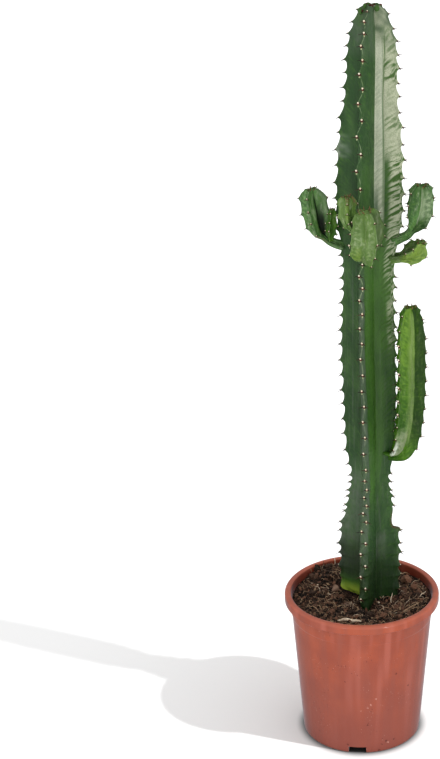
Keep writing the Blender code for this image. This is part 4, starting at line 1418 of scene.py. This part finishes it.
def main_stem():
    """The column, from tables in millimetres by height above the floor.

    Its ribs run from the blunt top down to a stump that stands in the soil.
    """
    path = (
        (8.8, 18, 118), (8.8, 18, 200), (9.2, 18, 300), (8.8, 18, 380), (7, 18, 450), (7, 18, 540),
        (8.2, 18, 650), (9.1, 18, 710), (10.2, 18, 760), (10.4, 18, 812.5),
    )
    crest = (
        (118, 13), (140, 30.2), (170, 32.2), (215, 32.5), (236, 31.6), (255, 26.6), (280, 22.5),
        (297, 20.1), (320, 24.2), (350, 27.3), (445, 28.9), (520, 26.9), (545, 27.5), (570, 31.6),
        (600, 34.9), (640, 34.6), (665, 33.7), (700, 30.5), (725, 27.2), (750, 26.9), (765, 26.2),
        (780, 23.8), (797, 18.6), (808, 12.8), (812.5, 8.8),
    )
    core = (
        (118, 11), (150, 12.2), (240, 12.5), (297, 10), (350, 11.5), (450, 11.5), (580, 10.8), (700, 10),
        (780, 8.5), (812.5, 4),
    )
    edge = ((118, 5), (200, 4.2), (350, 3.4), (600, 2.5), (812.5, 1.7))
    pitch = (
        (118, 14), (220, 13.8), (245, 12), (260, 9), (290, 8.6), (305, 12.5), (325, 19.5), (360, 17.5),
        (400, 16.6), (430, 17.6), (460, 16.2), (500, 14.5), (530, 12.2), (560, 13.6), (600, 16.8),
        (640, 17.8), (670, 17), (700, 16.3), (730, 14.5), (770, 13.6), (790, 11.6), (812.5, 9.5),
    )
    facing = ((118, -12), (400, -13), (500, -15), (620, -17), (750, -22), (812.5, -22))
    front_phases = ((118, 1.02), (310, 0.94), (630, -0.03), (780, -0.22), (812.5, -0.2))

    def by_distance(rows, turn=metres):
        return [(metres(height) - STEM_BASE, turn(value)) for height, value in rows]

    right = [(0.0, 0.8), (0.4, 0.8), (0.55, 0.62), (1.0, 0.62)]
    back = [(0.0, 0.1), (1.0, 0.1)]
    left = [(0.0, 0.35), (1.0, 0.35)]
    heights = (*ARM_PLACES, WOUND)
    bare = [(rib, metres(low) - STEM_BASE, metres(high) - STEM_BASE) for rib, low, high in heights]
    return Stem(
        name="main_stem",
        path=metres(path),
        crest=by_distance(crest),
        core=by_distance(core),
        edge=by_distance(edge),
        pitch=by_distance(pitch),
        facing=by_distance(facing, math.radians),
        phases=[by_distance(front_phases, float), right, back, left],
        tooth=0.0026,
        bare=tuple(bare),
        feet=(STUMP_REACH, FEET),
        wounds=((*bare[-1], WOUND_DEPTH),),
        teeth_from=0.155 - STEM_BASE,
        patches=column_patches(),
        crease=COLUMN_CREASE,
        fine=(LEFT_OF_FRONT, RIGHT_OF_FRONT, FRONT_OF_RIGHT, FRONT_OF_LEFT),
        sway=by_distance(CREST_SWAY),
        rise=0.0215,
    )


def arm(name, skin, facing, teeth_from, tip_leaves, path, crest, pitch=13.5, patches=()):
    """A young side stem, from lengths in millimetres. It starts inside the rib that it grows from."""
    path, crest, pitch = metres(path), metres(crest), metres(pitch)
    length = CentreLine(path).length
    angle = math.radians(facing)
    half = [(0.0, 0.5), (1.0, 0.5)]
    whole = [(0.0, 0.0), (1.0, 0.0)]
    widest = max(value for _, value in crest)
    return Stem(
        name=name,
        skin=skin,
        path=path,
        crest=crest,
        core=[(distance, max(0.36 * value, 0.003)) for distance, value in crest],
        edge=[(0.0, 0.002), (length, min(0.0019, 0.16 * widest))],
        pitch=[(0.0, pitch), (length, pitch)],
        facing=[(0.0, angle), (length, angle)],
        phases=[whole, half, whole, half],
        tooth=0.0021,
        tip_leaves=tip_leaves,
        teeth_from=metres(teeth_from),
        patches=patches_from(patches),
        uneven=0.0007,
    )


def arms():
    """The seven arms: two on the left rib, two on the front rib and three on the right rib."""
    # In the arms' patches too, pale is painted sheen, glint painted highlights and shade painted shade
    return (
        arm(
            "left_arm", "arm", facing=-22, teeth_from=26, tip_leaves=3,
            path=(
                (-18, 25, 559), (-30, 26.8, 562.2), (-39.5, 29, 569), (-44.7, 30, 579.5), (-48, 31, 595),
                (-50.4, 31.2, 609), (-51.8, 31.2, 618.5),
            ),
            crest=(
                (0, 6.2), (12, 5.6), (22, 5.2), (28, 10), (36, 13.2), (52, 15.2), (64, 15), (72, 11.8),
                (76, 8),
            ),
            patches=(
                ("fold", ((0, -1), (3, 1)), (28, 36, 70, 78), (0.2, 0.5, *OUT), 0.6),
                ("shade", ((0, 1),), (20, 28, 66, 78), (*IN, 0.25, 0.6), 0.95),
                ("shade", ((1, -1),), (14, 20, 40, 70), (*IN, 0.45, 1), 0.95),
                ("bloom", ((1, -1), (1, 1)), (40, 50, 80, 90), (0.6, 1, *OUT), 0.4, 0.4),
                ("scab", ((0, -1), (3, 1)), (16, 20, 28, 32), (0.8, 1.2, *OUT), 0.6),
            ),
        ),
        arm(
            "left_small_arm", "long_arm", facing=-22, pitch=9, teeth_from=12, tip_leaves=2,
            path=(
                (-32.2, 25.8, 564.5), (-32.2, 20.5, 570), (-31.5, 17.2, 578), (-30.6, 16, 589),
                (-30.2, 16, 602),
            ),
            crest=((0, 2.8), (6, 3), (14, 4.6), (26, 5.2), (37.2, 3)),
        ),
        arm(
            "front_small_arm", "light_arm", facing=0, pitch=10.5, teeth_from=14, tip_leaves=3,
            path=(
                (-1, -9.5, 585), (-6.2, -12, 587), (-11.2, -14, 593.5), (-14.4, -15, 605),
                (-14.8, -15.4, 624.5),
            ),
            crest=((0, 4.2), (8, 4.2), (16, 6), (26, 8.6), (42, 8.6), (48.7, 5.2)),
            patches=(
                ("fold", ((0, -1), (0, 1)), (18, 24, 42, 48), (0.2, 0.5, *OUT), 0.6),
                ("fresh", ((0, 1), (0, -1)), (20, 26, 36, 42), (0.2, 0.4, *OUT), 0.6, 0.9, 5),
                ("shade", ((0, 1), (1, -1)), (-10, 0, 18, 30), WHOLE, 0.65),
                ("scab", ((0, 1), (0, -1), (1, -1)), (36, 42, 50, 56), (0.5, 0.9, *OUT), 0.8),
            ),
        ),
        arm(
            "front_arm", "light_arm", facing=-61, teeth_from=18, tip_leaves=4,
            path=(
                (1, -4, 555), (1.2, -15.5, 559.5), (3.4, -27.5, 570.5), (5.6, -35.8, 587),
                (5.4, -38.7, 602), (2.8, -39.2, 616.5),
            ),
            crest=(
                (0, 5.6), (11, 5.8), (18, 10.4), (30, 16.2), (52, 18.4), (72, 14.2), (81, 8.8),
                (86.2, 5.6),
            ),
            patches=(
                ("pale", ((0, 1), (1, -1)), (30, 40, 60, 75), (0.3, 0.6, 1.2, 1.6), 0.2, 1, 4),
                ("shade", ((0, 1), (1, -1)), (10, 20, 80, 90), WHOLE, 0.11),
                ("fold", ((0, 1), (1, -1)), (20, 30, 75, 85), (0.3, 0.6, *OUT), 0.8),
                ("shade", ((1, 1), (2, -1)), (10, 20, 70, 80), WHOLE, 0.5),
                ("fresh", ((0, 1),), (15, 20, 35, 45), (0.2, 0.4, *OUT), 0.5),
            ),
        ),
        arm(
            "right_arm", "arm", facing=-45, teeth_from=26, tip_leaves=4,
            path=(
                (33, 11.5, 569), (40, 8.8, 572.8), (46.8, 7, 576.8), (52, 6, 583.8), (56.5, 5.2, 592.5),
                (59.5, 4.5, 605.5), (60.8, 4.2, 619), (61, 4, 631.2),
            ),
            crest=(
                (0, 6), (12, 5), (22, 5), (28, 8.2), (35, 12.4), (44, 16), (55, 16.8), (64, 15.7),
                (70, 12.8), (74.3, 9),
            ),
            patches=(
                ("fold", ((0, 1), (1, -1)), (28, 36, 66, 74), (0.3, 0.6, *OUT), 0.6),
                ("pale", ((1, -1),), (36, 44, 66, 74), (-0.2, 0, 1.4, 1.9), 0.5, 0.6, 6),
                ("pale", ((0, 1), (1, -1)), (30, 36, 70, 76), (*IN, 0.02, 0.12), 0.75),
                ("shade", ((1, -1),), (20, 26, 34, 46), WHOLE, 0.4),
            ),
        ),
        arm(
            "right_lower_arm", "light_arm", facing=-40, pitch=12.5, teeth_from=14, tip_leaves=3,
            path=((30, 12, 550), (41.3, 8, 552.5), (51.3, 4.5, 557.7), (58.3, 0, 564.5), (60.6, -3, 572.7)),
            crest=((0, 6), (10, 5.6), (19, 9.2), (28, 12.4), (36, 10.5), (42.6, 6)),
            patches=(
                ("fold", ((0, 1), (1, -1)), (12, 20, 40, 46), (0.2, 0.5, *OUT), 0.6),
                ("fresh", ((0, 1), (1, -1)), (10, 14, 44, 50), WHOLE, 0.75),
                ("shade", ((0, -1), (3, 1)), (-10, 0, 40, 50), WHOLE, 0.42),
                ("shade", ((0, 1),), (-10, 0, 16, 22), WHOLE, 0.45),
            ),
        ),
        arm(
            "long_right_arm", "long_arm", facing=-42, pitch=15.5, teeth_from=22, tip_leaves=4,
            path=(
                (27, 14, 328.5), (36, 8, 330.5), (43.8, 1, 340.5), (48.5, -4, 360), (51, -7, 384.5),
                (52.2, -8.5, 420.5), (51.9, -8.5, 460.5), (51.4, -8, 488), (50.8, -7.6, 503.5),
            ),
            crest=(
                (0, 8), (8, 8.8), (18, 12), (30, 14.6), (50, 16.8), (100, 18.4), (150, 18.4), (170, 16.6),
                (182, 12.8), (192.5, 7.6),
            ),
            patches=(
                ("fold", ((0, 1),), (20, 30, 180, 190), (0.35, 0.65, *OUT), 0.5),
                ("fold", ((1, -1),), (20, 30, 180, 190), (0.5, 0.9, *OUT), 0.4),
                ("fresh", ((0, 1),), (70, 160, 190, 200), WHOLE, 0.58, 0.3, 10),
                ("fresh", ((1, -1),), (70, 160, 190, 200), (*IN, 0.24, 0.32), 0.5, 0.3, 10),
                ("pale", ((0, 1),), (30, 50, 180, 195), (*IN, 0.1, 0.6), 0.28, 0.4, 20),
                ("pale", ((1, -1),), (30, 50, 180, 195), (*IN, 0.24, 0.3), 0.28, 0.4, 20),
                ("bloom", ((0, 1), (0, -1)), (8, 16, 40, 62), (-0.2, 0, *OUT), 1, 0.5, 6),
                ("shade", ((1, -1),), (30, 50, 190, 200), (0.24, 0.34, *OUT), 0.48),
                ("glint", ((0, 1), (0, -1)), (10, 16, 34, 44), (0.8, 1.2, *OUT), 0.6, 0.8, 4),
            ),
        ),
    )


def make_stem(stem, skin, stuff, seed):
    """Everything of one stem."""
    flesh, line, teeth = stem_flesh(stem, skin)
    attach(flesh, "root")
    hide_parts(stem.name)
    pieces = [flesh, *stem_trim(stem, line, teeth, stuff, seed)]


# The uneven crown on the column's blunt top: place and half sizes in millimetres of its green knobs and of
# its dry brown scales
CROWN_KNOBS = (
    ((3, 18.5, 810.8), (2, 2, 3)), ((7.2, 21.5, 811), (2.2, 2, 2.8)), ((12.4, 20.5, 810.6), (2.4, 2, 3)),
    ((17.8, 18.5, 810), (2.6, 2.2, 3.4)), ((21.5, 17, 805.8), (2.6, 2.2, 3.4)),
    ((-1.2, 16.5, 806.2), (2.2, 2, 3.4)), ((14.8, 13, 809.6), (2.6, 2.2, 3.4)),
    ((6, 25.5, 810), (2.6, 2.2, 3)), ((15, 26, 809.6), (2.6, 2.2, 3)),
)
CROWN_SCALES = (
    ((4.4, 21.5, 812.4), (1.1, 1, 1.4)), ((8.2, 15, 812.6), (1.4, 1.2, 1.2)),
    ((10, 12.8, 812), (1.4, 1.2, 1.6)), ((12.2, 17, 812.7), (1.3, 1.1, 1.1)),
    ((18.8, 16.5, 812.6), (1.4, 1, 1)), ((0.6, 14.5, 806.8), (1.2, 1, 1.4)),
    ((22.5, 14.5, 806.8), (1.2, 1, 1.3)),
)


CROWN_SEED = 77


def make_crown(skin, scale_skin):
    """Knobs and dry scales on the column's top, where its last teeth crowd together."""
    rng = np.random.default_rng(CROWN_SEED)
    template = lump_template(2)
    upright = Matrix.Identity(3)
    kinds = (("crown_knobs", CROWN_KNOBS, skin), ("crown_scales", CROWN_SCALES, scale_skin))
    for name, lumps, material in kinds:
        shapes = Shapes()
        for centre, half in metres(lumps):
            points = lumpy(template, rng, centre, half, 0.1, upright)
            shapes.add_solid(points, template[1], rng.uniform(0, 1))
        crown = shapes.build(f"main_stem_{name}", material)


TRIM_STUFFS = {
    "spines": "spine_horn",
    "shields": "shield_horn",
    "buds": "bud_wool",
    "tip_leaves": "tip_leaf_skin",
}
COLUMN_SEED = 101
FIRST_ARM_SEED = 201


def make_plant():
    """The column, its crown and the arms."""
    stuff = {what: plain_material(name) for what, name in TRIM_STUFFS.items()}
    column_skin = flesh_material("column_skin", COLUMN_TONES)
    make_stem(main_stem(), column_skin, stuff, COLUMN_SEED)
    make_crown(column_skin, stuff["shields"])
    skins = {name: flesh_material(f"{name}_skin", tones) for name, tones in ARM_TONES.items()}
    for number, stem in enumerate(arms()):
        make_stem(stem, skins[stem.skin], stuff, FIRST_ARM_SEED + number)


# The floor's painted shade, which darkens the cast shadow near the pot, fades out between these distances
# from the pot's axis
FLOOR_FADE = (0.12, 0.46)
# The painted contact shadow where the pot stands on the floor fades out between these
CONTACT_FADE = (0.0605, 0.0755)
FLOOR_HALF = 8.0


def grey(value):
    return (value, value, value, 1)


def floor_material():
    """Pale card, a little greyer round the object than further out as painted shade, and a painted contact
    shadow where the pot stands.
    """
    paint = Paint("studio_floor", (255, 255, 255), roughness=0.9, specular=0.0)
    away = paint.away((0, 0, 0))
    far = paint.mix(paint.noise(3, 2), grey(0.925), grey(0.935))
    # Painted shade: greyer near the pot, so that its cast shadow is darker there
    colour = paint.mix(paint.between(away, *FLOOR_FADE), grey(0.85), far)
    # Painted contact shadow round the pot's foot
    paint.colour = paint.mix(paint.between(away, *CONTACT_FADE, 0.97, 0.0), colour, grey(0.03))
    return paint.finish()


def make_floor():
    bm = bmesh.new()
    bmesh.ops.create_grid(bm, x_segments=8, y_segments=8, size=FLOOR_HALF)
    floor = placed_shape("studio_floor", bm)
    floor.data.materials.append(floor_material())
    floor.visible_glossy = False
    return floor


# The camera stands 1.97 m in front of the pot and 1.227 m up, and looks 22.3 degrees down. The photograph is
# cut from the left part of its view, so the middle of the pot is right of the frame's middle.
IMAGE_WIDTH, IMAGE_HEIGHT = 440, 759
CAMERA_PLACE = (0.0, -1.97, 1.227)
CAMERA_DOWN = math.radians(22.3)
FOCAL_PIXELS = 2019.0
AXIS_PIXEL = 361.8
SENSOR = 36.0


def make_camera():
    data = bpy.data.cameras.new("camera")
    camera = placed("camera", data)
    camera.location = CAMERA_PLACE
    camera.rotation_euler = (math.pi / 2 - CAMERA_DOWN, 0, 0)
    data.sensor_width = SENSOR
    data.lens = SENSOR * FOCAL_PIXELS / IMAGE_HEIGHT
    data.shift_x = -(AXIS_PIXEL - IMAGE_WIDTH / 2) / IMAGE_HEIGHT
    data.clip_end = 100
    bpy.context.scene.camera = camera


# The sun's light travels this way, so the shadow falls to the left and back
SUN_WAY = (-0.9, 0.385, -1.0)
SUN_ENERGY = 2.47
SUN_ANGLE = math.radians(1.6)
SKY = 1.0
SKY_IN_GLOSS = 0.22


def make_light(name, kind, power, way, lit_object):
    """A light that shines on one object alone."""
    data = bpy.data.lights.new(name, kind)
    data.energy = power
    light = placed(name, data)
    light.rotation_euler = Vector(way).to_track_quat("-Z", "Y").to_euler()
    lit = bpy.data.collections.new(f"lit_by_{name}")
    lit.objects.link(lit_object)
    light.light_linking.receiver_collection = lit
    return light


def make_sun(floor):
    """The sun that casts the long shadow. It lights the floor alone, since the object is lit evenly."""
    sun = make_light("key_light", "SUN", SUN_ENERGY, SUN_WAY, floor)
    sun.data.angle = SUN_ANGLE


# Softboxes: azimuth from the front towards +X in degrees, distance, middle height, width, height, power
SOFTBOXES = (
    (-24, 1.25, 0.3, 0.08, 0.55, 0.8),
    (32, 1.25, 0.3, 0.12, 0.55, 2.2),
)


def make_softboxes(pot):
    """Tall narrow lights at the front, for the pot's sheen alone: the plant's skin shows none."""
    for number, (azimuth, distance, height, width, tall, power) in enumerate(SOFTBOXES):
        angle = math.radians(azimuth)
        x, y = distance * math.sin(angle), -distance * math.cos(angle)
        light = make_light(f"softbox_{number}", "AREA", power, (-x, -y, 0), pot)
        light.data.shape = "RECTANGLE"
        light.data.size, light.data.size_y = width, tall
        light.location = (x, y, height)
        light.visible_camera = False


def make_sky():
    """Even white light all round, dimmer where it is mirrored so that dark flesh stays dark."""
    world = bpy.data.worlds.new("studio")
    world.use_nodes = True
    nodes, links = world.node_tree.nodes, world.node_tree.links
    background = nodes["Background"]
    background.inputs["Color"].default_value = (1, 1, 1, 1)
    path = nodes.new("ShaderNodeLightPath")
    strength = nodes.new("ShaderNodeMapRange")
    strength.inputs["To Min"].default_value = SKY
    strength.inputs["To Max"].default_value = SKY_IN_GLOSS
    links.new(path.outputs["Is Glossy Ray"], strength.inputs["Value"])
    links.new(strength.outputs["Result"], background.inputs["Strength"])
    bpy.context.scene.world = world


make_camera()
make_sky()
make_sun(make_floor())
make_softboxes(make_pot())
litter = plain_material("plant_litter")
make_soil_ball()
make_crumbs()
make_fibres(litter)
make_chips(litter)
make_rim_chip(litter)
make_plant()
bpy.context.scene.view_settings.view_transform = "Standard"
